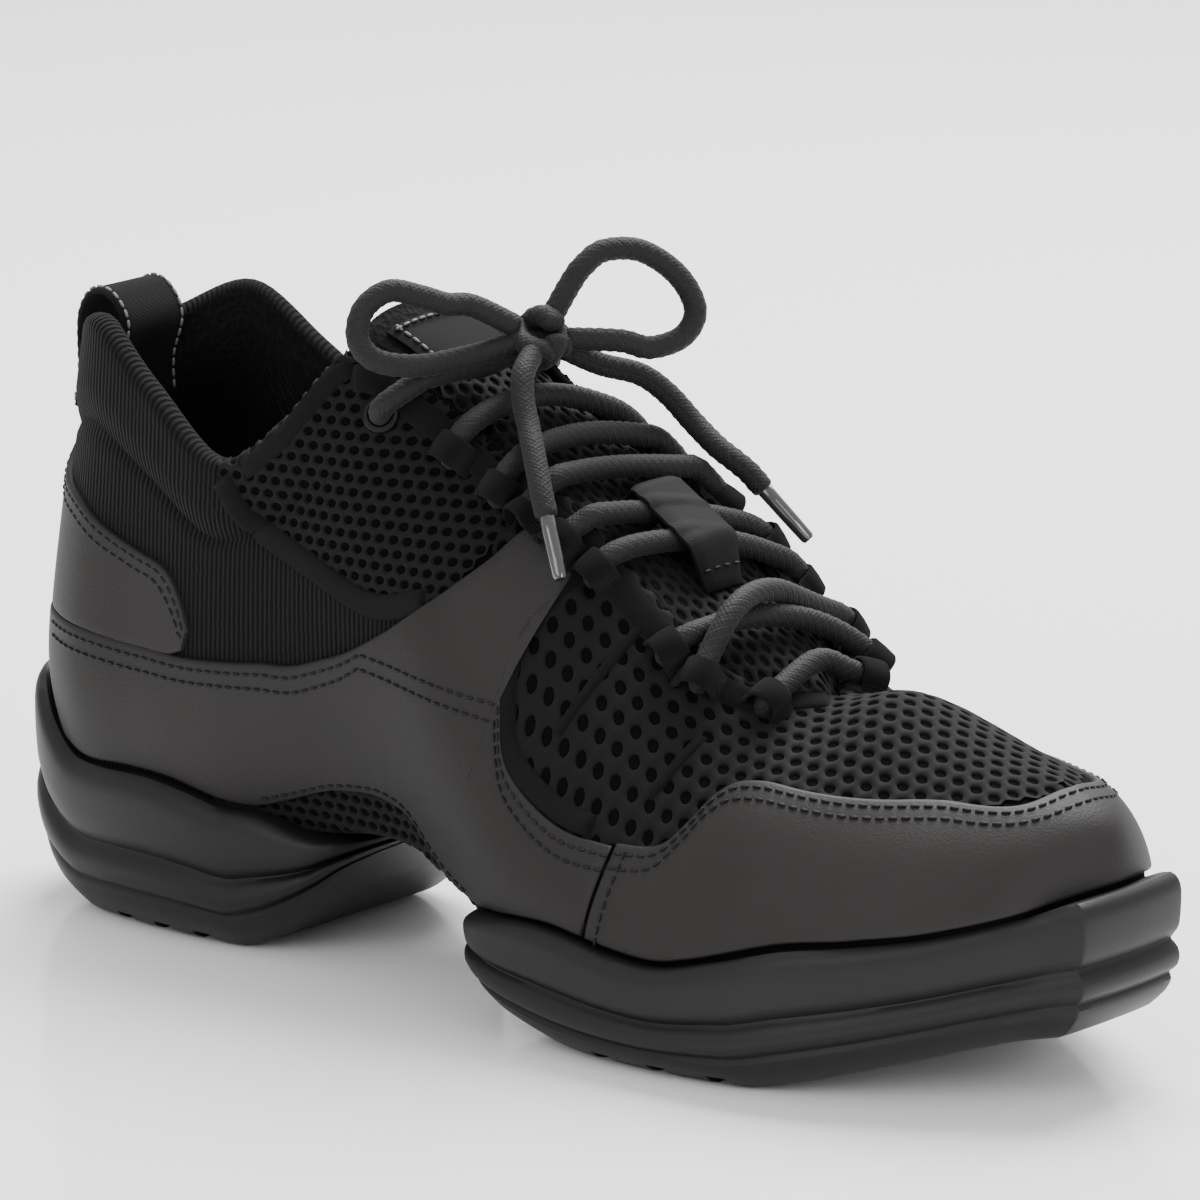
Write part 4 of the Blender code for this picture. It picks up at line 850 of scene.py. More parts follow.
def toe_cap_table():
    """Edge places of the toe cap, from its lateral seam round the toe to the medial one."""
    table = np.array(TOE_CAP)
    near = np.stack([table[:, 0], lip_w(table[:, 0]), table[:, 1], table[:, 2]], axis=1)
    back = table[-2::-1]
    low, high = 2 * TOE - back[:, 0], 2 * TOE - back[:, 1]
    far = np.stack([low, lip_w(low), high, back[:, 2]], axis=1)
    seams = []
    for side in (-1, 1):
        seam = side_marks(side, (TOE_CAP_SEAM[0], TOE_CAP_SEAM[1]), (0.0, TOE_CAP_SEAM[2])).ravel()
        seams.append(seam if side < 0 else (2 * TOE + seam[0], seam[1], 2 * TOE + seam[2], seam[3]))
    return np.vstack([seams[:1], near, far, seams[1:]])


def counter_table():
    """Edge places of the heel counter, round the back."""
    near, far = [mark_points(side, np.array(COUNTER)) for side in (-1, 1)]
    low, high = find_w(-1, np.zeros(2), np.array(COUNTER_BACK) * INSTEP_HEIGHT)
    return np.vstack([near, [(0.0, low, 0.0, high)], far[::-1]])


def foxing_table():
    """Edge places of the low piece at the heel, round the back."""
    table = np.array(HEEL_FOXING)
    top = find_w(-1, table[:, 1], np.full(len(table), FOXING_TOP * INSTEP_HEIGHT))
    rows = np.stack([table[:, 0], lip_w(table[:, 0], FOXING_LIFT), table[:, 1], top], axis=1)
    return np.vstack([rows, rows[-2::-1] * (-1, 1, -1, 1)])


def sheet_places(table, t, share):
    """s and w at t along a table of edge places and at a share of the way from its low edge."""
    marks = spline(padded(table), t)
    return marks[:, :2] + (marks[:, 2:] - marks[:, :2]) * np.asarray(share)[:, None]


def on_sheet(table, t, share, depth):
    """Points over the last at places of a sheet, in the last's own frame."""
    t, share, depth = flat(t, share, depth)
    marks = sheet_places(table, t, share)
    side, u = place(marks[:, 0])
    return at_depth(side, u, np.clip(marks[:, 1], 0, 1), depth)


def leather_look(material, grain, strength):
    """Fine grain and a little unevenness in the colour, in real millimetres."""
    tree = material.node_tree
    shader = tree.nodes["Principled BSDF"]
    where = add_node(tree, "ShaderNodeTexCoord").outputs["Object"]
    cells = add_node(tree, "ShaderNodeTexVoronoi", {"Scale": 1000 / grain}, Vector=where)
    cloud = add_node(tree, "ShaderNodeTexNoise", {"Scale": 60.0, "Detail": 4.0}, Vector=where)
    relief = {"Strength": strength, "Distance": 0.00012}
    bump = add_node(tree, "ShaderNodeBump", relief, Height=cells.outputs["Distance"])
    tree.links.new(bump.outputs[0], shader.inputs["Normal"])
    shade(tree, cloud.outputs["Fac"], 0.85, 1.15)
    return material


# Charcoal leather with a matt finish and grain of about half a millimetre
leather = leather_look(
    new_material("matt_leather", "#191716", 0.58, Specular_IOR_Level=0.26), 0.55, 0.35)
ROWS_ACROSS = 14


def add_overlay(name, table, columns, replaced, thickness):
    """A leather sheet between two edges of a table of places, rounded at its rim."""
    steps = np.linspace(0, len(table) - 1, columns)
    low = on_sheet(table, steps, 0.0, 0.0)
    high = on_sheet(table, steps, 1.0, 0.0)
    across = np.maximum(np.linalg.norm(high - low, axis=1), 0.002)
    rim = (
        # distance in from the edge, height
        (0.0, -RIM_SINK), (0.0, thickness * 0.4), (0.00012, thickness * 0.73), (0.0004, thickness * 0.93),
        (RIM_WIDTH, thickness))
    inner = np.linspace(0, 1, ROWS_ACROSS)[1:-1]
    grid = [on_sheet(table, steps, inset / across, depth) for inset, depth in rim]
    for share in inner:
        grid.append(on_sheet(table, steps, RIM_WIDTH / across * (1 - 2 * share) + share, thickness))
    grid += [on_sheet(table, steps, 1 - inset / across, depth) for inset, depth in rim[::-1]]
    points = np.stack(grid, axis=1)
    ends = []
    for end, nearby in ((0, 1), (-1, -2)):
        step = points[nearby] - points[end]
        gap = np.maximum(np.linalg.norm(step, axis=1, keepdims=True), 1e-6)
        marks = steps[end] + 0 * across[:1]
        share = np.concatenate([np.zeros(len(rim)), inner, np.ones(len(rim))])
        skirt = on_sheet(table, marks, share, -RIM_SINK)
        shoulder = on_sheet(table, marks, share, thickness * 0.67)
        turned = points[end] + step * np.minimum(END_TURN / gap, 0.5)
        ends.append((skirt, shoulder, turned))
    points = np.stack([*ends[0], *points[1:-1], *ends[1][::-1]])
    count, rows_made = points.shape[:2]
    run = run_of(points[:, rows_made // 2]) * 1000
    fall = np.stack([run_of(row) for row in points]) * 1000
    uv = np.stack([np.repeat(run[:, None], rows_made, axis=1), fall], axis=2).reshape(-1, 2)
    piece = add_piece(name, points.reshape(-1, 3), grid_faces(count, rows_made), leather, uv, "leather", 50)
    turn_out(piece)
    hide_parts(replaced)
    return piece


def turn_out(piece):
    """Make an open sheet's faces look away from the middle of the shoe."""
    mesh = piece.data
    centre = Vector((0.0, HEEL_BACK[1], 0.045))
    score = sum((p.center - centre).normalized().dot(p.normal) * p.area for p in mesh.polygons)
    if score < 0:
        mesh.flip_normals()


TABLES = {
    "saddle_lateral": saddle_table(-1), "saddle_medial": saddle_table(1), "toe_cap": toe_cap_table(),
    "heel_counter": counter_table(), "heel_foxing": foxing_table(),
}
# The foxing and the counter run on a little under the side panels, which lie on their edges
TABLES["heel_foxing"][0, [0, 2]] += 0.10
TABLES["heel_foxing"][-1, [0, 2]] -= 0.10
TABLES["heel_counter"][:, 1] -= 0.014
COLUMNS = {
    "saddle_lateral": 150, "saddle_medial": 150, "toe_cap": 170, "heel_counter": 120, "heel_foxing": 60}
THICKNESS = {
    "saddle_lateral": OVERLAY + GAP, "saddle_medial": OVERLAY + GAP, "toe_cap": OVERLAY + GAP,
    "heel_counter": 0.0012, "heel_foxing": 0.0010,
}
overlays = {}
for sheet, table in TABLES.items():
    overlays[sheet] = add_overlay(sheet + "_leather", table, COLUMNS[sheet], sheet, THICKNESS[sheet])


# Stitches: thread on the leather, 2.5 mm from one stitch to the next, in one or two rows along the edges.

STITCH_SOCKETS = {"Stitch": "NodeSocketObject", "Pitch": "NodeSocketFloat", "Material": "NodeSocketMaterial"}
stitch_tree, stitch_inputs, stitch_in, stitch_out = add_modifier_tree("row_of_stitches", STITCH_SOCKETS)
stitch_line = add_node(stitch_tree, "GeometryNodeMeshToCurve", (), Mesh=stitch_in.outputs["Geometry"])
stitch_points = add_node(stitch_tree, "GeometryNodeCurveToPoints", (), Curve=stitch_line.outputs[0])
stitch_points.mode = "LENGTH"
stitch_tree.links.new(stitch_in.outputs["Pitch"], stitch_points.inputs["Length"])
add_copies(
    stitch_tree, stitch_in, stitch_out, "Stitch", stitch_points.outputs["Points"],
    Rotation=stitch_points.outputs["Rotation"])

STITCH_PITCH = 0.0025
STITCH_LENGTH = 0.0019
STITCH_RADIUS = 0.00032
STITCH_LIFT = 0.00012
STITCH_INSETS = (0.0018, 0.0042)
STITCH_SIDES = 6
LIGHT_PITCH = 0.0022
# Thread: bonded polyester, darker and shinier than the leather
thread = new_material("bonded_thread", "#0A0A0A", 0.5, Specular_IOR_Level=0.2)
# Thread of the pull loop and of the label, light grey
light_thread = new_material("light_thread", "#5E5E60", 0.55)


def stitch_shape():
    """One stitch along z, thick in the middle, closed at both ends."""
    rings = ((-0.5, 0.0), (-0.42, 0.6), (-0.25, 1.0), (0.25, 1.0), (0.42, 0.6), (0.5, 0.0))
    points = []
    for z, swell in rings:
        for k in range(STITCH_SIDES if swell else 1):
            angle = 2 * math.pi * k / STITCH_SIDES
            radius = STITCH_RADIUS * swell
            points.append((radius * math.cos(angle), radius * math.sin(angle), z * STITCH_LENGTH))
    corners = range(STITCH_SIDES)
    top = len(points) - 1
    faces = [(0, 1 + (k + 1) % STITCH_SIDES, 1 + k) for k in corners]
    faces += [tuple(1 + n for n in face) for face in tube_faces(4, STITCH_SIDES)]
    faces += [(top, top - STITCH_SIDES + k, top - STITCH_SIDES + (k + 1) % STITCH_SIDES) for k in corners]
    mesh = bpy.data.meshes.new("stitch")
    mesh.from_pydata(points, [], faces)
    return bpy.data.objects.new("stitch", mesh)


def add_stitches(name, lines, material=thread, pitch=STITCH_PITCH):
    """Stitches along lines of points, which are in the frame's own place."""
    base = bpy.data.meshes.new(name)
    points = []
    edges = []
    for line in lines:
        start = len(points)
        points += [tuple(p) for p in line]
        edges += [(start + k, start + k + 1) for k in range(len(line) - 1)]
    base.from_pydata(points, edges, [])
    shape = stitch_shape()
    values = {
        stitch_inputs["Stitch"]: shape, stitch_inputs["Pitch"]: pitch, stitch_inputs["Material"]: material}
    row = run_modifier(name, base, stitch_tree, values)
    bpy.data.objects.remove(shape, do_unlink=True)
    row.data.shade_smooth()
    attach(row, "root")


def edge_row(table, start, stop, inset, low=False, depth=OVERLAY + GAP + STITCH_LIFT):
    """A line on a sheet, a distance in from its high or its low edge."""
    steps = np.linspace(start, stop, 160)
    across = np.linalg.norm(on_sheet(table, steps, 1.0, 0.0) - on_sheet(table, steps, 0.0, 0.0), axis=1)
    share = np.clip(inset / np.maximum(across, 0.004), -0.5, 0.5)
    return on_sheet(table, steps, share if low else 1 - share, depth) + HEEL_BACK


overlay_tree = mesh_tree(upper, *overlays.values())


def drape_line(start, stop, count):
    """A line between two places of a side, straight as seen from that side, on what is there."""
    points = []
    side = 1 if start[1] > 0 else -1
    for t in np.linspace(0, 1, count + 2)[1:-1]:
        mark = start + (stop - start) * t
        start_place = Vector((mark[0], FAR_OUT * side, mark[2]))
        spot, out, _, _ = overlay_tree.ray_cast(start_place, Vector((0, -side, 0)))
        points.append(spot + out * STITCH_LIFT)
    return np.array(points)


# Each row starts and stops at steps of its sheet's table
stitch_rows = []
cap_rows = TABLES["toe_cap"]
counter_rows = TABLES["heel_counter"]
for word in SIDES:
    saddle_rows = TABLES["saddle_" + word]
    for inset in STITCH_INSETS:
        back_part = edge_row(saddle_rows, 0.6, 7.4, inset)
        front_part = edge_row(saddle_rows, 14.6, len(saddle_rows) - 1.05, inset)
        stitch_rows.append(np.vstack([back_part, drape_line(back_part[-1], front_part[0], 40), front_part]))
    stitch_rows.append(edge_row(saddle_rows, 5.2, 13.2, 0.0022, low=True))
for inset in STITCH_INSETS:
    stitch_rows.append(edge_row(cap_rows, 0.15, len(cap_rows) - 1.15, inset))
for inset in STITCH_INSETS:
    stitch_rows.append(
        edge_row(counter_rows, 0.4, len(counter_rows) - 1.4, inset, depth=THICKNESS["heel_counter"]))
for cap_end in (0.30, len(cap_rows) - 1.30):
    seam = on_sheet(cap_rows, cap_end, np.linspace(0.03, 0.90, 60), OVERLAY + GAP + STITCH_LIFT)
    stitch_rows.append(seam + HEEL_BACK)
add_stitches("overlay_stitches", stitch_rows)


# Soles: two moulded rubber units with nothing under the arch between them. Each has a lip that cups the
# upper, a smooth band, two deep grooves round its side, and a flat tread with cross grooves.

HEEL_PLAN = (
    (0.000, .00, .00), (0.009, .37, .37), (0.033, .70, .70), (0.073, .94, .94), (0.128, 1.08, 1.07),
    (0.192, 1.14, 1.12), (0.255, 1.13, 1.09), (0.307, 1.06, 1.00), (0.341, .93, .87), (0.359, .62, .58),
    (0.366, .00, .00),
)
FOREFOOT_PLAN = (
    (.486, .00, .00), (.490, .45, .38), (.501, .79, .66), (.530, .97, .81), (.590, 1.07, .93),
    (.659, 1.11, 1.00), (.722, 1.10, 1.03), (.785, 1.05, 1.00), (.841, .94, .90), (.892, .77, .74),
    (.935, .59, .55), (.966, .44, .40), (.991, .375, .325), (.997, .32, .28), (1.000, .00, .00),
)
HEEL_TREAD = (
    (0.000, .100), (0.016, .067), (0.043, .037), (0.073, .014), (0.105, .000), (0.256, .000),
    (0.278, .017), (0.300, .048), (0.330, .105), (0.352, .160), (0.366, .190),
)
FOREFOOT_TREAD = (
    (.486, .130), (.505, .082), (.530, .050), (.563, .024), (.604, .006), (.641, .000),
    (.770, .000), (.805, .016), (.845, .040), (.885, .065), (.926, .090), (.966, .108), (1.00, .118),
)
# Side of a unit from the tread up: share of the side's height, and depth in from the outline
SOLE_SIDE = (
    (.00, .0080), (.03, .0058), (.08, .0042), (.13, .0028), (.18, .0020), (.215, .0017), (.245, .0019),
    (.260, .0021), (.275, .0019), (.295, .0011), (.320, .0005), (.36, .0002), (.40, .0002), (.445, .0005),
    (.480, .0012), (.505, .0018), (.520, .0019), (.540, .0015), (.580, .0007), (.62, .0003), (.70, .0001),
    (.78, .0), (.86, .0), (.91, .0002), (.945, .0006), (.975, .0012), (1.0, .0022),
)
# Rubber: satin black with a dusty unevenness that breaks its shine
sole_rubber = leather_look(new_material("satin_rubber", "#0E0D0D", 0.52, Specular_IOR_Level=0.28), 0.9, 0.12)


def plan_ring(plan, ball, steps, inset):
    """Outline of a sole unit drawn in by inset, from the back by the lateral side to the front and back."""
    half = half_width(ball)
    table = np.array(plan) * (LENGTH, half, half)
    rows_out = np.vstack([table[1:2] * (1, -1, -1), table, table[-2:-1] * (1, -1, -1)])
    middle = (table[0, 0] + table[-1, 0]) / 2
    shorten = 1 - 2 * inset / (table[-1, 0] - table[0, 0])
    line = spline(rows_out, steps)
    x = middle + (line[:, 0] - middle) * shorten
    near = -np.maximum(line[:, 1], 0) * (1 - inset / half)
    far = np.maximum(line[:, 2], 0) * (1 - inset / half)
    return np.concatenate([np.stack([x, near], 1), np.stack([x, far], 1)[-2:0:-1]])


def last_body(name, depth):
    """The last's own body at a depth, which the soles are hollowed with."""
    steps = np.linspace(0, TOE, 97)
    ws = np.concatenate([-np.linspace(1, 0.04, 12), np.linspace(0, 1, 25)])
    side, u = ring_places(steps)
    points = np.stack([at_depth(side, u, w, depth) for w in ws], axis=1)
    count, rows_made = points.shape[:2]
    faces = grid_faces(count, rows_made, 0, True)
    half = len(steps)
    mirror = [0] + list(range(count - 1, half - 1, -1)) + [half - 1]
    for k in range(half - 1):
        a, b, c, d = k, k + 1, mirror[k + 1], mirror[k]
        for row in (0, rows_made - 1):
            loop = tuple(dict.fromkeys(n * rows_made + row for n in (a, b, c, d)))
            if len(loop) > 2:
                faces.append(loop)
    return add_piece(name, points.reshape(-1, 3), faces, sole_rubber)


def cut(target, cutter):
    """Take one piece out of another, and remove it."""
    modifier = target.modifiers.new("cut", "BOOLEAN")
    modifier.operation = "DIFFERENCE"
    modifier.solver = "EXACT"
    modifier.object = cutter
    bpy.context.view_layer.update()
    result = bpy.data.meshes.new_from_object(target.evaluated_get(bpy.context.evaluated_depsgraph_get()))
    target.modifiers.clear()
    target.data = result
    bpy.data.objects.remove(cutter, do_unlink=True)


def add_block(size, where):
    """A block that cuts a groove across the tread."""
    x, y, z = [s / 2 for s in size]
    corners = [(sx * x, sy * y, sz * z) for sx in (-1, 1) for sy in (-1, 1) for sz in (-1, 1)]
    faces = ((0, 1, 3, 2), (4, 6, 7, 5), (0, 4, 5, 1), (2, 3, 7, 6), (0, 2, 6, 4), (1, 5, 7, 3))
    return add_piece("groove", np.array(corners) + where, faces, sole_rubber)


SOLE_CREASE = 32
GROOVE_WIDTH = 0.0045
GROOVE_DEPTH = 0.0022
LAST_SINK = 0.0004


def add_sole(name, plan, ball, tread, lip, count, grooves, replaced):
    """A sole unit: rings from the tread's middle out, up its side and in over the lip, then hollowed."""
    steps = np.linspace(0, len(plan) - 1, count)
    rings = []
    for narrow in (0.0, 0.2, 0.4, 0.6, 0.8):
        ring = plan_ring(plan, ball, steps, SOLE_SIDE[0][1])
        low = np.maximum(read_line(tread, ring[:, 0]), 0)
        rings.append(np.stack([ring[:, 0], ring[:, 1] * narrow, low], 1))
    for share, inset in SOLE_SIDE:
        ring = plan_ring(plan, ball, steps, inset)
        low, high = np.maximum(read_line(tread, ring[:, 0]), 0), read_line(lip, ring[:, 0])
        rings.append(np.stack([ring[:, 0], ring[:, 1], low + (high - low) * share], 1))
    for narrow in (0.75, 0.5, 0.25, 0.0):
        rings.append(np.stack([ring[:, 0], ring[:, 1] * narrow, read_line(lip, ring[:, 0])], 1))
    sole = add_piece(
        name, np.concatenate(rings), tube_faces(len(rings), len(ring)), sole_rubber, None, "sole_rubber",
        SOLE_CREASE)
    cut(sole, last_body(name + "_last", -LAST_SINK))
    for x in grooves:
        cut(sole, add_block((GROOVE_WIDTH, 2 * HEEL_WIDTH, 2 * GROOVE_DEPTH), (x * LENGTH, 0.0, 0.0)))
    sole.data.shade_smooth()
    sole.data.set_sharp_from_angle(angle=math.radians(SOLE_CREASE))
    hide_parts(replaced)


add_sole("sole_heel", HEEL_PLAN, 0.0, HEEL_TREAD, HEEL_LIP, 91, (0.145, 0.185, 0.225), "outsole_heel")
add_sole(
    "sole_forefoot", FOREFOOT_PLAN, 1.0, FOREFOOT_TREAD, FOREFOOT_LIP, 121, (0.655, 0.705, 0.755),
    "outsole_forefoot")


# Insole: black textile over foam, lying inside on the turned-in edges and the arch.

INSOLE_THICKNESS = 0.0035
INSOLE_SEAT = WALL + GAP + 0.0002
INSOLE_EDGE = 0.10
insole_sides, insole_u = ring_places(np.linspace(0, TOE, 65))
insole_top = []
insole_bottom = []
for share in (1.0, 0.85, 0.7, 0.55, 0.4, 0.25, 0.12, 0.03, 0.0):
    inner_w = -INSOLE_EDGE - (1 - INSOLE_EDGE) * share
    base = at_depth(insole_sides, insole_u, inner_w, -INSOLE_SEAT)
    floor = at_depth(insole_sides, insole_u, min(inner_w, -0.32), -INSOLE_SEAT)
    base[:, 2] = np.maximum(base[:, 2], floor[:, 2])
    insole_bottom.append(base)
    insole_top.append(base + (0, 0, INSOLE_THICKNESS * (1 - 0.25 * max(0.0, 1 - share / 0.12))))
insole_points = np.concatenate([
    np.stack(sheet, axis=1).reshape(-1, 3) for sheet in (insole_top, insole_bottom)])
insole_textile = textile_bump(
    new_material("insole_textile", "#0C0C0D", 0.95, Specular_IOR_Level=0.12), "VORONOI", 900.0, 0.4)
insole = add_piece(
    "insole_foam", insole_points, shell_faces(len(insole_u), len(insole_top), True), insole_textile, None,
    "insole_foam", 60)
drop_twins(insole)
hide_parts("insole")


# Tongue: thin foam between fine mesh, tucked in under both throat edges and standing up a little over
# the collar. Its leather label is plain, with one light stitched line.

TONGUE_SEAT = 0.0007
TONGUE_THICKNESS = 0.0050
TONGUE_TOP_RISE = np.array([-.006 * LENGTH, 0.0, .034 * INSTEP_HEIGHT])
TONGUE_TIP_REACH = np.array([.024 * LENGTH, 0.0, -.026 * INSTEP_HEIGHT])
TONGUE_START = float(ROW["instep_top"])
TONGUE_END = THROAT_END - 0.06
TONGUE_ROUNDING = 0.0018
TONGUE_DROP = 0.0016
# The first rows stand up over the collar, and the last ones reach on under the vamp
tongue_u = np.concatenate([
    TONGUE_START + np.array([0.0, 0.1, 0.2]), np.linspace(TONGUE_START + 0.3, TONGUE_END, 57),
    [TONGUE_END] * 2])
tongue_top = np.concatenate([[1.0, 0.66, 0.33], np.zeros(59)])
tongue_tip = np.concatenate([np.zeros(60), [0.5, 1.0]])
tongue_q = np.linspace(-1, 1, 41)
tongue_outer = []
tongue_inner = []
for q in tongue_q:
    steps_q = q * (1 - 0.16 * (1 - smooth_step(TONGUE_START, ROW["waist"], tongue_u)))
    free = (1 - smooth_step(0.30, 0.70, np.abs(steps_q)))[:, None]
    move = (tongue_top[:, None] * TONGUE_TOP_RISE + tongue_tip[:, None] * TONGUE_TIP_REACH) * free
    seat = TONGUE_SEAT + TONGUE_DROP * smooth_step(THROAT_END - 1.2, THROAT_END - 0.2, tongue_u)
    thick = TONGUE_THICKNESS * (1 - 0.65 * np.abs(steps_q) ** 3)
    rounding = TONGUE_ROUNDING * (1 - smooth_step(TONGUE_START, TONGUE_START + 0.3, tongue_u)) ** 2
    tongue_outer.append(across_throat(tongue_u, steps_q, -seat - rounding) + move)
    tongue_inner.append(across_throat(tongue_u, steps_q, -seat - thick + rounding) + move)
tongue_points = np.concatenate([np.stack(sheet).reshape(-1, 3) for sheet in (tongue_outer, tongue_inner)])
tongue_uv = np.stack(np.meshgrid(tongue_q * 30, tongue_u * 15, indexing="ij"), axis=2).reshape(-1, 2)
tongue_textile = textile_bump(
    new_material("tongue_mesh", "#090909", 0.95, Sheen_Weight=SOFT_SHEEN, Specular_IOR_Level=0.12),
    "VORONOI", 1.1, 0.9, 0.0004)
tongue = add_piece(
    "tongue_textile", tongue_points, shell_faces(len(tongue_q), len(tongue_u)), tongue_textile,
    np.tile(tongue_uv, (2, 1)), "mesh_textile", 60)
drop_twins(tongue)
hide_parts("tongue")


RIM_THINNING = 0.55


def add_patch(name, points, thickness, material, slot, replaced=None):
    """A thin sheet over a grid of points, thinner at its rim. Returns the points of its top."""
    points = np.array(points)
    out = unit(np.cross(np.gradient(points, axis=0), np.gradient(points, axis=1)))
    if out[..., 2].mean() < 0:
        out = -out
    rim = np.full(points.shape[:2], RIM_THINNING)
    rim[1:-1, 1:-1] = 1.0
    top = points + out * thickness * rim[..., None]
    piece = add_piece(
        name, np.concatenate([top.reshape(-1, 3), points.reshape(-1, 3)]), shell_faces(*points.shape[:2]),
        material, None, slot, 50, (0, 0, 0))
    drop_twins(piece)
    if replaced:
        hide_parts(replaced)
    return top


# Points further than this from every piece are clear
NEAR = 0.012


def height_over(tree, point):
    """Height of a point over the pieces of a tree, under 0 inside them, and the way out of them."""
    spot, out, _, far = tree.find_nearest(Vector(point), NEAR)
    if spot is None:
        return NEAR, np.zeros(3)
    return far if (Vector(point) - spot).dot(out) >= 0 else -far, np.array(out)


def lift_off(points, tree, clear):
    """Move points out of and off the pieces of a tree until they are clear of it."""
    places = np.array(points, float).reshape(-1, 3)
    for _ in range(8):
        for k, point in enumerate(places):
            height, out = height_over(tree, point)
            places[k] = point + out * max(clear - height, 0.0)
    return places.reshape(np.shape(points))


def grid_over(u_range, q_range, height, rows_u, rows_q):
    """A grid of points over the instep, in the frame's own place."""
    grid = []
    for u in np.linspace(*u_range, rows_u):
        grid.append(across_throat(np.full(rows_q, u), np.linspace(*q_range, rows_q), height) + HEEL_BACK)
    return grid


tongue_tree = mesh_tree(tongue)
TONGUE_OUTLINE = (
    (100, -11), (112, -14), (140, -15), (175, -13), (200, -9),
    (200, 15), (175, 18), (140, 17), (112, 14), (100, 11))
TONGUE_CELL = (0.0032, 0.0025, (0.0021, 0.0015))
add_net("tongue_net", TONGUE_OUTLINE, *TONGUE_CELL, net_textile, Drape(0, tongue_tree))
# Label leather: thin, smooth and black
smooth_label = leather_look(
    new_material("label_leather", "#0A0A0C", 0.75, Specular_IOR_Level=0.08), 0.6, 0.15)
LABEL_U = (6.12, 7.00)
LABEL_Q = (-.24, .24)
LABEL_THICKNESS = 0.0008
label_points = lift_off(grid_over(LABEL_U, LABEL_Q, 0.0, 17, 13), tongue_tree, 0.0002)
label_top = add_patch("label_leather", label_points, LABEL_THICKNESS, smooth_label, "leather", "tongue_label")
label_line = np.concatenate([
    label_top[1:-1, 1], label_top[-2, 1:-1], label_top[-2:1:-1, -2], label_top[1, -2:0:-1]])
add_stitches("label_stitches", [label_line + (0, 0, 0.00015)], light_thread, LIGHT_PITCH)


# Bindings and tapes: a soft binding round the throat and collar front, the webbing tape between the
# knit and the open mesh, a strip along each saddle's front edge, and two seams on each side of the vamp.

# Tape: dense black webbing with a fine weave
tape_textile = textile_bump(
    new_material("binding_tape", "#0A0A0B", 0.95, Sheen_Weight=SOFT_SHEEN, Specular_IOR_Level=0.12),
    "WAVE", 1.6, 0.7, 0.0003)
STRIP_PROFILE = (
    # share of the width, share of the height
    (-.5, -.3), (-.5, .35), (-.42, .8), (-.2, 1.0), (0, 1.02), (.2, 1.0), (.42, .8), (.5, .35), (.5, -.3))


def strip_line(marks, spacing=0.0012):
    """Smooth dense line through marks, and how far along it each point is."""
    line = spline(padded(marks), np.linspace(0, len(marks) - 1, 40 * len(marks)))
    run = run_of(line)
    steps = np.linspace(0, run[-1], max(int(run[-1] / spacing), 4))
    return np.stack([np.interp(steps, run, line[:, k]) for k in range(3)], axis=1), steps


STRIP_SIZES = {
    # kind: width, height
    "quarter_tape": (0.0052, 0.0012), "throat_binding": (0.0056, 0.0013), "brushed_strip": (0.0046, 0.0014),
    "collar_binding": (0.0042, 0.0008), "vamp_seam": (0.0022, 0.0010),
}


def add_strip(kind, which, marks):
    """A soft strip laid on the upper, along marks in the frame's own place."""
    width, height = STRIP_SIZES[kind]
    line, run = strip_line(marks)
    points = []
    uv = []
    for k, place_k in enumerate(line):
        spot, out, _, _ = upper_tree.find_nearest(Vector(place_k))
        ahead = Vector(line[min(k + 1, len(line) - 1)] - line[max(k - 1, 0)]).normalized()
        across = out.cross(ahead).normalized()
        end = 1.0 if 0 < k < len(line) - 1 else 0.3
        for share, rise in STRIP_PROFILE:
            foot, out_k, _, _ = upper_tree.find_nearest(spot + across * share * width)
            points.append(tuple(foot + out_k * rise * height * end))
            uv.append((run[k] * 1000, share * width * 1000))
    count = len(STRIP_PROFILE)
    faces = grid_faces(len(line), count)
    for start in (0, (len(line) - 1) * count):
        faces.append(tuple(range(start, start + count)))
    name = "%s_%s" % (kind, which)
    turn_out(add_piece(name, points, faces, tape_textile, uv, "mesh_textile", 60, (0, 0, 0)))


def side_line(side, marks):
    """Places on a side of the upper from x and z in millimetres of the last's own frame."""
    points = []
    for x, z in marks:
        start = Vector((x / 1000, FAR_OUT * side, z / 1000)) + Vector(HEEL_BACK)
        spot, _, _, _ = overlay_tree.ray_cast(start, Vector((0, -side, 0)))
        if spot is not None:
            points.append(tuple(spot))
    return points


THROAT_EDGE = 0.955
COLLAR_EDGE = 0.975
throat_u = np.linspace(ROW["instep_top"], THROAT_END, 40)
collar_u = np.linspace(4.55, ROW["instep_top"], 18)
# Marks of each seam on the lateral side, in millimetres of the last's own frame
VAMP_SEAMS = (
    ((165.3, -15.5, 81.5), (161.5, -25.5, 71.6), (156.9, -35.3, 58.9)),
    ((183.6, -23.4, 60.9), (179.7, -35.0, 50.6)))
for word, side in SIDES.items():
    add_strip("quarter_tape", word, side_line(side, TAPE_LINE))
    add_strip("throat_binding", word, at_depth(side, throat_u, THROAT_EDGE, 0.0) + HEEL_BACK)
    saddle_front = edge_row(TABLES["saddle_" + word], 11.3, 17.9, -0.0020, depth=0.0)
    add_strip("brushed_strip", word, saddle_front[::8])
for number, side in enumerate(SIDES.values()):
    add_strip("collar_binding", number, at_depth(side, collar_u, COLLAR_EDGE, 0.0) + HEEL_BACK)
for number, seam in enumerate(VAMP_SEAMS):
    for which, side in enumerate(SIDES.values()):
        marks = np.array(seam) / 1000 * (1, -side, 1)
        seam_points = [tuple(upper_tree.find_nearest(Vector(m + HEEL_BACK))[0]) for m in marks]
        add_strip("vamp_seam", "%d_%d" % (number, which), seam_points)


# Eyelets: two satin black plastic rings at the top of the throat.

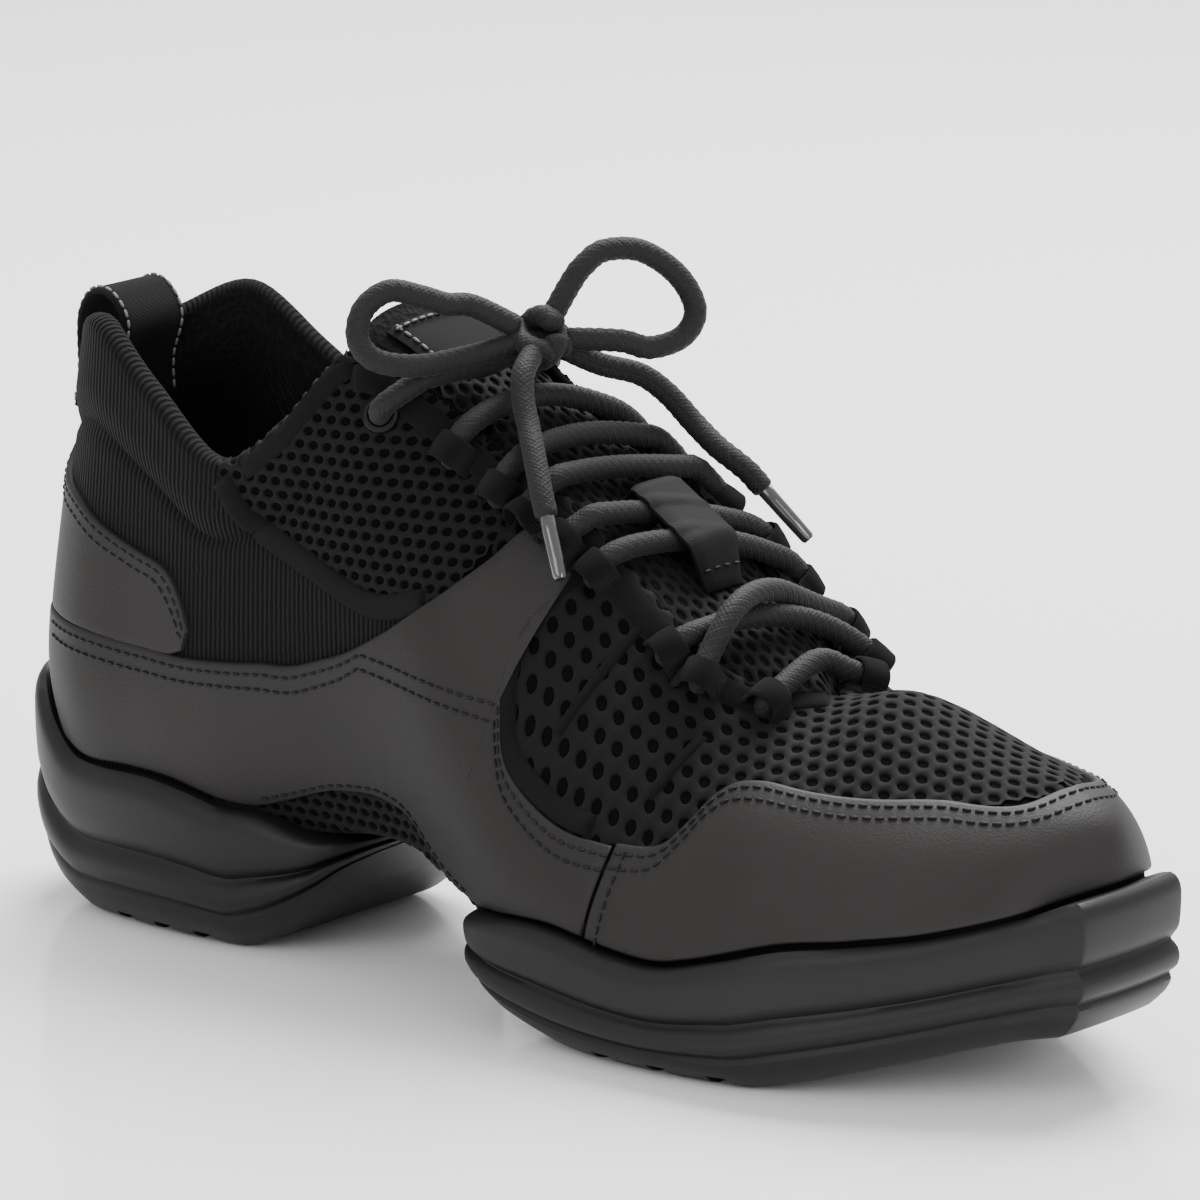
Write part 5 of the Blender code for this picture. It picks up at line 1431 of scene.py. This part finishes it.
EYELET_PLACE = (.380, .908)
EYELET_PROFILE = (
    # radius, height
    (.0038, .0002), (.0038, .0009), (.0036, .0013), (.0032, .0016), (.0028, .0017), (.0024, .0015),
    (.0021, .0011), (.0019, .0005), (.0019, -.0004))


def rings_round(middle, ahead, across, profile, around):
    """Rings of points round a line, from its profile of radii and heights."""
    angles = np.linspace(0, 2 * math.pi, around, endpoint=False)[:, None]
    up = np.cross(ahead, across)
    circle = across * np.cos(angles) + up * np.sin(angles)
    return np.concatenate([middle + ahead * height + radius * circle for radius, height in profile])


# Eyelet plastic: satin black
eyelet_plastic = new_material("eyelet_plastic", "#070708", 0.45, Specular_IOR_Level=0.15)
eyelet_spots = {}
for word, side in SIDES.items():
    s, w = side_marks(side, EYELET_PLACE[:1], EYELET_PLACE[1:])[0]
    out = normals(side, abs(s), w)[0]
    middle = last(side, abs(s), w)[0]
    along = last(side, abs(s) + 0.05, w)[0] - middle
    along = unit(along - out * np.dot(along, out))
    eyelet_spots[side] = (middle + HEEL_BACK, out)
    ring = add_piece(
        "eyelet_ring_" + word, rings_round(middle, out, along, EYELET_PROFILE, 40),
        tube_faces(len(EYELET_PROFILE), 40), eyelet_plastic, None, "eyelet_plastic", 60)
    turn_out(ring)
    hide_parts("eyelet_" + word)


# Pull loop: black webbing tape, folded over the back of the collar, with light grey edge stitches.

LOOP_WIDTH = 0.018
LOOP_THICKNESS = 0.0014
LOOP_RISE = 0.0115
LOOP_STEPS = 64
BACK_RADIUS = HEEL_WIDTH * 0.42
loop_half = LOOP_THICKNESS / 2 + GAP
# The tape is sewn on outside at its first two marks and inside at its last two
loop_w = np.array([0.84, 0.93, 0.97, 0.88])
loop_depths = np.concatenate([
    loop_half + PUFF + np.array([0.0004, 0.0002]), -wall(np.zeros(2), loop_w[2:]) - loop_half])
loop_marks = at_depth(-1, np.zeros(4), loop_w, loop_depths)
loop_rise = last(-1, 0.0, 1.0)[0] + np.array([
    (-.0020, 0.0, LOOP_RISE * 0.55), (.0015, 0.0, LOOP_RISE),
    (.0065, 0.0, LOOP_RISE * 0.95), (.0098, 0.0, LOOP_RISE * 0.45)])
loop_line = spline(padded([*loop_marks[:2], *loop_rise, *loop_marks[2:]]), np.linspace(0, 7, LOOP_STEPS))
loop_ahead = np.gradient(loop_line, axis=0)
loop_away = unit(np.stack([-loop_ahead[:, 2], 0 * loop_ahead[:, 0], loop_ahead[:, 0]], axis=1))
loop_share = np.linspace(0, 1, LOOP_STEPS)
loop_sewn = 1 - smooth_step(0.10, 0.30, loop_share) + smooth_step(0.70, 0.90, loop_share)
loop_radius = BACK_RADIUS - COLLAR_PAD * smooth_step(0.45, 0.55, loop_share)
loop_y = np.array([-1, -.98, -.9, -.7, -.45, -.2, 0, .2, .45, .7, .9, .98, 1]) * LOOP_WIDTH / 2
loop_swell = np.array([.3, .7, 1, 1, 1, 1, 1, 1, 1, 1, 1, .7, .3]) / 2
loop_sheets = []
for sign in (1, -1):
    sheet = []
    for k, y in enumerate(loop_y):
        bend = (loop_radius - np.sqrt(loop_radius ** 2 - y * y)) * loop_sewn
        row = loop_line + loop_away * sign * LOOP_THICKNESS * loop_swell[k]
        sheet.append(row + np.stack([bend, 0 * bend + y, 0 * bend], axis=1))
    loop_sheets.append(np.stack(sheet, axis=1))
# Webbing: black polyester with a flat weave
webbing = textile_bump(
    new_material("black_webbing", "#0A0A0B", 0.9, Sheen_Weight=SOFT_SHEEN, Specular_IOR_Level=0.15),
    "WAVE", 1.3, 0.8, 0.0003)
loop_uv = np.stack(np.meshgrid(run_of(loop_line) * 1000, loop_y * 1000, indexing="ij"), axis=2).reshape(-1, 2)
pull_loop = add_piece(
    "pull_loop_webbing", np.concatenate([s.reshape(-1, 3) for s in loop_sheets]),
    shell_faces(LOOP_STEPS, len(loop_y)), webbing, np.tile(loop_uv, (2, 1)), "webbing", 60)
drop_twins(pull_loop)
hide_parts("heel_pull_loop")
loop_outside = loop_sheets[0] + loop_away[:, None] * 0.0001 + HEEL_BACK
loop_rows = [loop_outside[2:-2, 2], loop_outside[2:-2, -3], loop_outside[3, 2:-2]]
add_stitches("pull_loop_stitches", loop_rows, light_thread, LIGHT_PITCH)


# Laces: round black braid, 4.6 mm thick. The runs cross the throat through small webbing loops, and the
# bow lies where it was tied, with a clear tip on each end.

LACE_DIAMETER = 0.0046
LACE_RUNS = {
    "lace_toe_bar": ((11.35, -.50, 11.72, .50),),
    "lace_low_cross": ((10.22, -.50, 11.22, .50), (10.66, -.50, 10.62, .50)),
    "lace_keeper_upper": ((8.95, -.50, 9.70, .41),),
    "lace_keeper_lower": ((9.32, -.50, 10.04, .50),),
    "lace_high_upper": ((8.08, -.50, 8.60, .50),),
    "lace_high_lower": ((8.48, -.50, 9.10, .50),),
    "lace_top_cross": ((7.42, -.50, 8.15, .50),),
}
KNOT_RUNS = ((6.66, -.42, 7.28, -.10), (6.66, .42, 7.28, .10))
KNOT_PLACE = np.array([0.1236, 0.0006, 0.1270])
BOW = {
    "bow_loop_medial": (
        (.1262, .0068, .1372), (.1276, .0092, .1406), (.1297, .0130, .1432), (.1343, .0188, .1428),
        (.1392, .0240, .1378), (.1424, .0256, .1312), (.1418, .0226, .1262), (.1384, .0166, .1244),
        (.1350, .0112, .1262)),
    "bow_loop_lateral": (
        (.1148, -.0092, .1338), (.1122, -.0140, .1346), (.1089, -.0182, .1364), (.1047, -.0226, .1376),
        (.1020, -.0270, .1344), (.1026, -.0296, .1290), (.1058, -.0282, .1250), (.1112, -.0228, .1236),
        (.1150, -.0130, .1240)),
    "lace_end_lateral": (
        (.1280, -.0100, .1221), (.1303, -.0128, .1178), (.1333, -.0149, .1136), (.1374, -.0184, .1099),
        (.1408, -.0212, .1062), (.1434, -.0232, .1030), (.1452, -.0243, .1002)),
    "lace_end_medial": (
        (.1296, .0116, .1208), (.1343, .0184, .1182), (.1380, .0226, .1140), (.1424, .0250, .1086),
        (.1480, .0252, .1046), (.1520, .0258, .1022), (.1546, .0270, .1000), (.1566, .0280, .0976)),
}
LACE_REST = 0.0003
LACE_STEP = 0.00035
LIFT_SLACK = 0.00005
AROUND = 24
STRANDS = 3
STRAND_TWIST = 0.0021
BRAID_CELLS = 14.4


def lace_material():
    """Polyester braid: two sets of strands that cross, in relief."""
    material = new_material("braided_lace", "#0A0A0B", 0.72, Sheen_Weight=0.03, Specular_IOR_Level=0.3)
    tree = material.node_tree
    shader = tree.nodes["Principled BSDF"]
    where = add_node(tree, "ShaderNodeUVMap")
    waves = []
    for turn in (0.9, -0.9):
        mapping = add_node(tree, "ShaderNodeMapping", {"Rotation": (0, 0, turn)}, Vector=where.outputs[0])
        strands = {"Scale": 0.42, "Distortion": 0.3}
        waves.append(add_node(tree, "ShaderNodeTexWave", strands, Vector=mapping.outputs[0]))
    most = add_node(tree, "ShaderNodeMath", (), i0=waves[0].outputs["Fac"], i1=waves[1].outputs["Fac"])
    most.operation = "MAXIMUM"
    bump = add_node(tree, "ShaderNodeBump", {"Strength": 0.5, "Distance": 0.0002}, Height=most.outputs[0])
    tree.links.new(bump.outputs[0], shader.inputs["Normal"])
    return material


braid = lace_material()


def lace_line(marks):
    """Dense line of a lace through marks."""
    return strip_line(marks, LACE_STEP)[0]


def add_lace(name, line):
    """A braided tube along a dense line, round at both ends."""
    run = run_of(line)
    ahead = unit(np.gradient(line, axis=0))
    side_on = np.cross(ahead[0], (0.3, 0.2, 1.0))
    angle = np.linspace(0, 2 * math.pi, AROUND, endpoint=False)
    radius = LACE_DIAMETER / 2
    points = []
    uv = []
    for k in range(len(line)):
        side_on = unit(side_on - ahead[k] * np.dot(side_on, ahead[k]))
        up = np.cross(ahead[k], side_on)
        twist = run[k] / STRAND_TWIST * math.pi
        relief = np.abs(np.sin(STRANDS * angle + twist)) * np.abs(np.sin(STRANDS * angle - twist))
        from_end = min(run[k], run[-1] - run[k]) / radius
        end = math.sqrt(max(1 - (1 - min(from_end * 1.6, 1.0)) ** 2, 0.02))
        swell = radius * end * (0.93 + 0.10 * np.sqrt(relief))
        circle = np.cos(angle)[:, None] * side_on + np.sin(angle)[:, None] * up
        points.append(line[k] + swell[:, None] * circle)
        uv.append(np.stack([angle / (2 * math.pi) * BRAID_CELLS, np.full(AROUND, run[k] * 1000)], axis=1))
    faces = tube_faces(len(line), AROUND, True)
    return add_piece(name, np.concatenate(points), faces, braid, np.concatenate(uv), "lace", 70, (0, 0, 0))


def run_line(near_u, near_q, far_u, far_q, tree):
    """Middle line of a lace that lies over the throat, lifted off what is under it."""
    steps = np.linspace(0, 1, 14)
    height = WALL + LACE_DIAMETER / 2 + 2 * GAP
    us, qs = near_u + (far_u - near_u) * steps, near_q + (far_q - near_q) * steps
    marks = across_throat(us, qs, height) + HEEL_BACK
    up = unit(marks - across_throat(us, qs, 0.0) - HEEL_BACK)
    for _ in range(5):
        marks[1:-1] = (marks[:-2] + 2 * marks[1:-1] + marks[2:]) / 4
        marks = raise_off(marks, up, tree, LACE_DIAMETER / 2 + LACE_REST)
    return marks


def raise_off(marks, up, tree, clear):
    """Move marks up along their own directions until they are clear of a tree."""
    for k, mark in enumerate(marks):
        for _ in range(12):
            height, _ = height_over(tree, mark)
            if height >= clear:
                break
            mark = mark + up[k] * (clear - height + LIFT_SLACK)
        marks[k] = mark
    return marks


# Back from the end of a run and down under it, where the lace goes through the textile
DIVE = ((0.0012, 0.0008), (0.0011, 0.0062))


def dive(line, tree):
    """The line with both its ends led down into the textile, under their tabs."""
    ends = []
    for end, before in ((0, 1), (-1, -2)):
        _, out, _, _ = tree.find_nearest(Vector(line[end]))
        ahead = unit(line[end] - line[before])
        down = unit(ahead * ahead.dot(out) - np.array(out))
        ends.append([line[end] - ahead * back + down * depth for back, depth in DIVE])
    return np.vstack([ends[0][::-1], line[1:-1], ends[1]])


TAB_HALF = 0.0030
TAB_THICKNESS = 0.0008
TAB_FOOT = 0.0018
TAB_SINK = 0.0002
# Share of the loop's half width, and share of its thickness
TAB_PROFILE = ((-1, .35), (-.85, .85), (0, 1.0), (.85, .85), (1, .35))


def add_lace_tab(name, line, at_start, tree):
    """Webbing loop at the throat's edge that a lace end passes through."""
    points_in = line if at_start else line[::-1]
    middle = Vector(points_in[0] * 0.6 + points_in[1] * 0.4)
    spot, out, _, _ = tree.find_nearest(middle)
    ahead = Vector(points_in[2] - points_in[0]).normalized()
    ahead = (ahead - out * ahead.dot(out)).normalized()
    across = out.cross(ahead)
    radius = LACE_DIAMETER / 2 + 2 * GAP
    centre = spot + out * (radius - GAP)
    foot = out * (radius - TAB_SINK)
    path = [centre - across * (radius + TAB_FOOT) - foot]
    for a in np.linspace(-0.15, math.pi + 0.15, 15):
        path.append(centre - across * math.cos(a) * radius * 1.08 + out * math.sin(a) * radius)
    path.append(centre + across * (radius + TAB_FOOT) - foot)
    path = np.array([tuple(p) for p in path])
    away = unit(path - np.array(centre - out * 0.002))
    low = [path + np.array(ahead) * share * TAB_HALF for share, _ in TAB_PROFILE]
    top = [row + away * TAB_THICKNESS * rise for row, (_, rise) in zip(low, TAB_PROFILE)]
    grid = np.concatenate([np.stack(sheet, axis=1).reshape(-1, 3) for sheet in (top, low)])
    rows_made = len(TAB_PROFILE)
    uv = np.stack(np.meshgrid(np.arange(len(path)) * 0.9, np.arange(rows_made) * 1.2, indexing="ij"), axis=2)
    tab = add_piece(
        name, grid, shell_faces(len(path), rows_made), tape_textile, np.tile(uv.reshape(-1, 2), (2, 1)),
        "webbing", 60, (0, 0, 0))
    drop_twins(tab)


ground = [upper, tongue] + list(overlays.values())
ground_tree = mesh_tree(*ground)
laid = []
for run_name, run_ends in LACE_RUNS.items():
    for number, ends in enumerate(run_ends):
        line = run_line(*ends, mesh_tree(*ground, *laid))
        piece = add_lace("%s_braid_%d" % (run_name, number), lace_line(dive(line, ground_tree)))
        if number == 0:
            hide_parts(run_name)
        for at_start in (True, False):
            add_lace_tab("tab_%s_%d_%d" % (run_name, number, at_start), line, at_start, ground_tree)
        laid.append(piece)


# Lace keeper: a leather strap on the tongue that two runs pass under, sewn at its ends.

KEEPER_U = (9.00, 10.04)
KEEPER_WIDTH = 0.011
KEEPER_THICKNESS = 0.0012
KEEPER_RISE = WALL + LACE_DIAMETER + 3 * GAP
# How wide the throat is where the strap lies
THROAT_WIDTH = BALL_WIDTH * 0.61
keeper_q = np.linspace(-0.5, 0.5, 9) * KEEPER_WIDTH / THROAT_WIDTH
keeper_grid = []
for t in np.linspace(0, 1, 36):
    rise = float(smooth_step(0.0, 0.20, t) * (1 - smooth_step(0.80, 1.0, t)))
    u = KEEPER_U[0] + (KEEPER_U[1] - KEEPER_U[0]) * t
    keeper_grid.append(across_throat(u, keeper_q, rise * KEEPER_RISE) + HEEL_BACK)
keeper_grid = lift_off(keeper_grid, mesh_tree(*ground, *laid), LACE_REST)
# Keeper leather: darker and smoother than the overlays
keeper_leather = leather_look(
    new_material("keeper_leather", "#0E0D0C", 0.7, Specular_IOR_Level=0.12), 0.55, 0.3)
keeper_top = add_patch(
    "keeper_strap", keeper_grid, KEEPER_THICKNESS, keeper_leather, "leather", "lace_keeper")
keeper_rows = [keeper_top[k, 1:-1] + (0, 0, 0.0002) for k in (3, -4)]
add_stitches("keeper_stitches", keeper_rows)


# The knot and the bow: cords that lie where their solids are, each a length of braid of its own.

ROOT_REACH = 0.0045


def knot_root(toward):
    """Where a cord that leaves the knot for a place starts inside it."""
    return KNOT_PLACE + unit(np.array(toward) - KNOT_PLACE) * ROOT_REACH


# The braid runs on into its tip by this share of its last step
TIP_REACH = 0.6
cord_lines = {}
for cord_name, cord_marks in BOW.items():
    marks = [knot_root(cord_marks[0]), *cord_marks]
    if cord_name.startswith("bow_loop"):
        marks.append(knot_root(cord_marks[-1]))
    else:
        marks.append(np.array(cord_marks[-1]) + TIP_REACH * np.subtract(cord_marks[-1], cord_marks[-2]))
    cord_lines[cord_name] = lace_line(np.array(marks) + HEEL_BACK)

# Aglets: clear film shrunk on the dark braid
clear_tip = new_material(
    "clear_film", "#2A2A2C", 0.12, Specular_IOR_Level=0.6, Coat_Weight=0.8, Coat_Roughness=0.08)


AGLET_OVERLAP = 0.0013
AGLET_PROFILE = (
    # radius, how far along the tip
    (.0001, 0), (.0013, 0), (.0016, .0004), (.00155, .0040), (.0015, .0090), (.0014, .0134), (.0011, .0140),
    (.0001, .0140))


def add_aglet(name, line):
    """A lace tip in line with the last of a cord's line."""
    heading = unit(line[-1] - line[-6])
    side_on = unit(np.cross(heading, (0, 0, 1.0)))
    points = rings_round(line[-1] - heading * AGLET_OVERLAP, heading, side_on, AGLET_PROFILE, AROUND)
    faces = tube_faces(len(AGLET_PROFILE), AROUND, True)
    aglet = add_piece(name + "_film", points, faces, clear_tip, None, "clear_tip", 40, (0, 0, 0))
    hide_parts(name)
    return aglet


for word in SIDES:
    add_aglet("aglet_" + word, cord_lines["lace_end_" + word])
for cord_name, line in cord_lines.items():
    add_lace(cord_name + "_braid", line)
    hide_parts(cord_name)

# The knot is two turns of the same braid round the crossing, and the runs from the top eyelets
KNOT_TURN = (0.0046, 0.0042)
KNOT_ANGLES = ((0.35, 0.2), (-0.5, 1.3))
for number, (tilt, roll) in enumerate(KNOT_ANGLES):
    a = np.linspace(0.0, 2 * math.pi * 0.97, 120)
    turn = np.stack([np.cos(a) * KNOT_TURN[0], np.sin(a) * KNOT_TURN[1], 0 * a], axis=1)
    spin = np.array(Euler((roll, tilt, 0.0)).to_matrix())
    add_lace("knot_turn_%d" % number, turn @ spin.T + KNOT_PLACE + HEEL_BACK)
top_tree = mesh_tree(*ground, *laid)
for number, ends in enumerate(KNOT_RUNS):
    line = run_line(*ends, top_tree)
    spot, out = eyelet_spots[-1 if number == 0 else 1]
    # The run comes up through its eyelet and bends over towards the throat
    start = [spot - out * 0.004, spot + out * 0.0008, spot + out * 0.0034 + (line[4] - spot) * 0.25]
    root = knot_root(line[-1] - HEEL_BACK) + HEEL_BACK
    line = np.array([*start, *line[4:-1], root, KNOT_PLACE + HEEL_BACK])
    add_lace("knot_run_%d" % number, lace_line(line))
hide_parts("lace_knot")
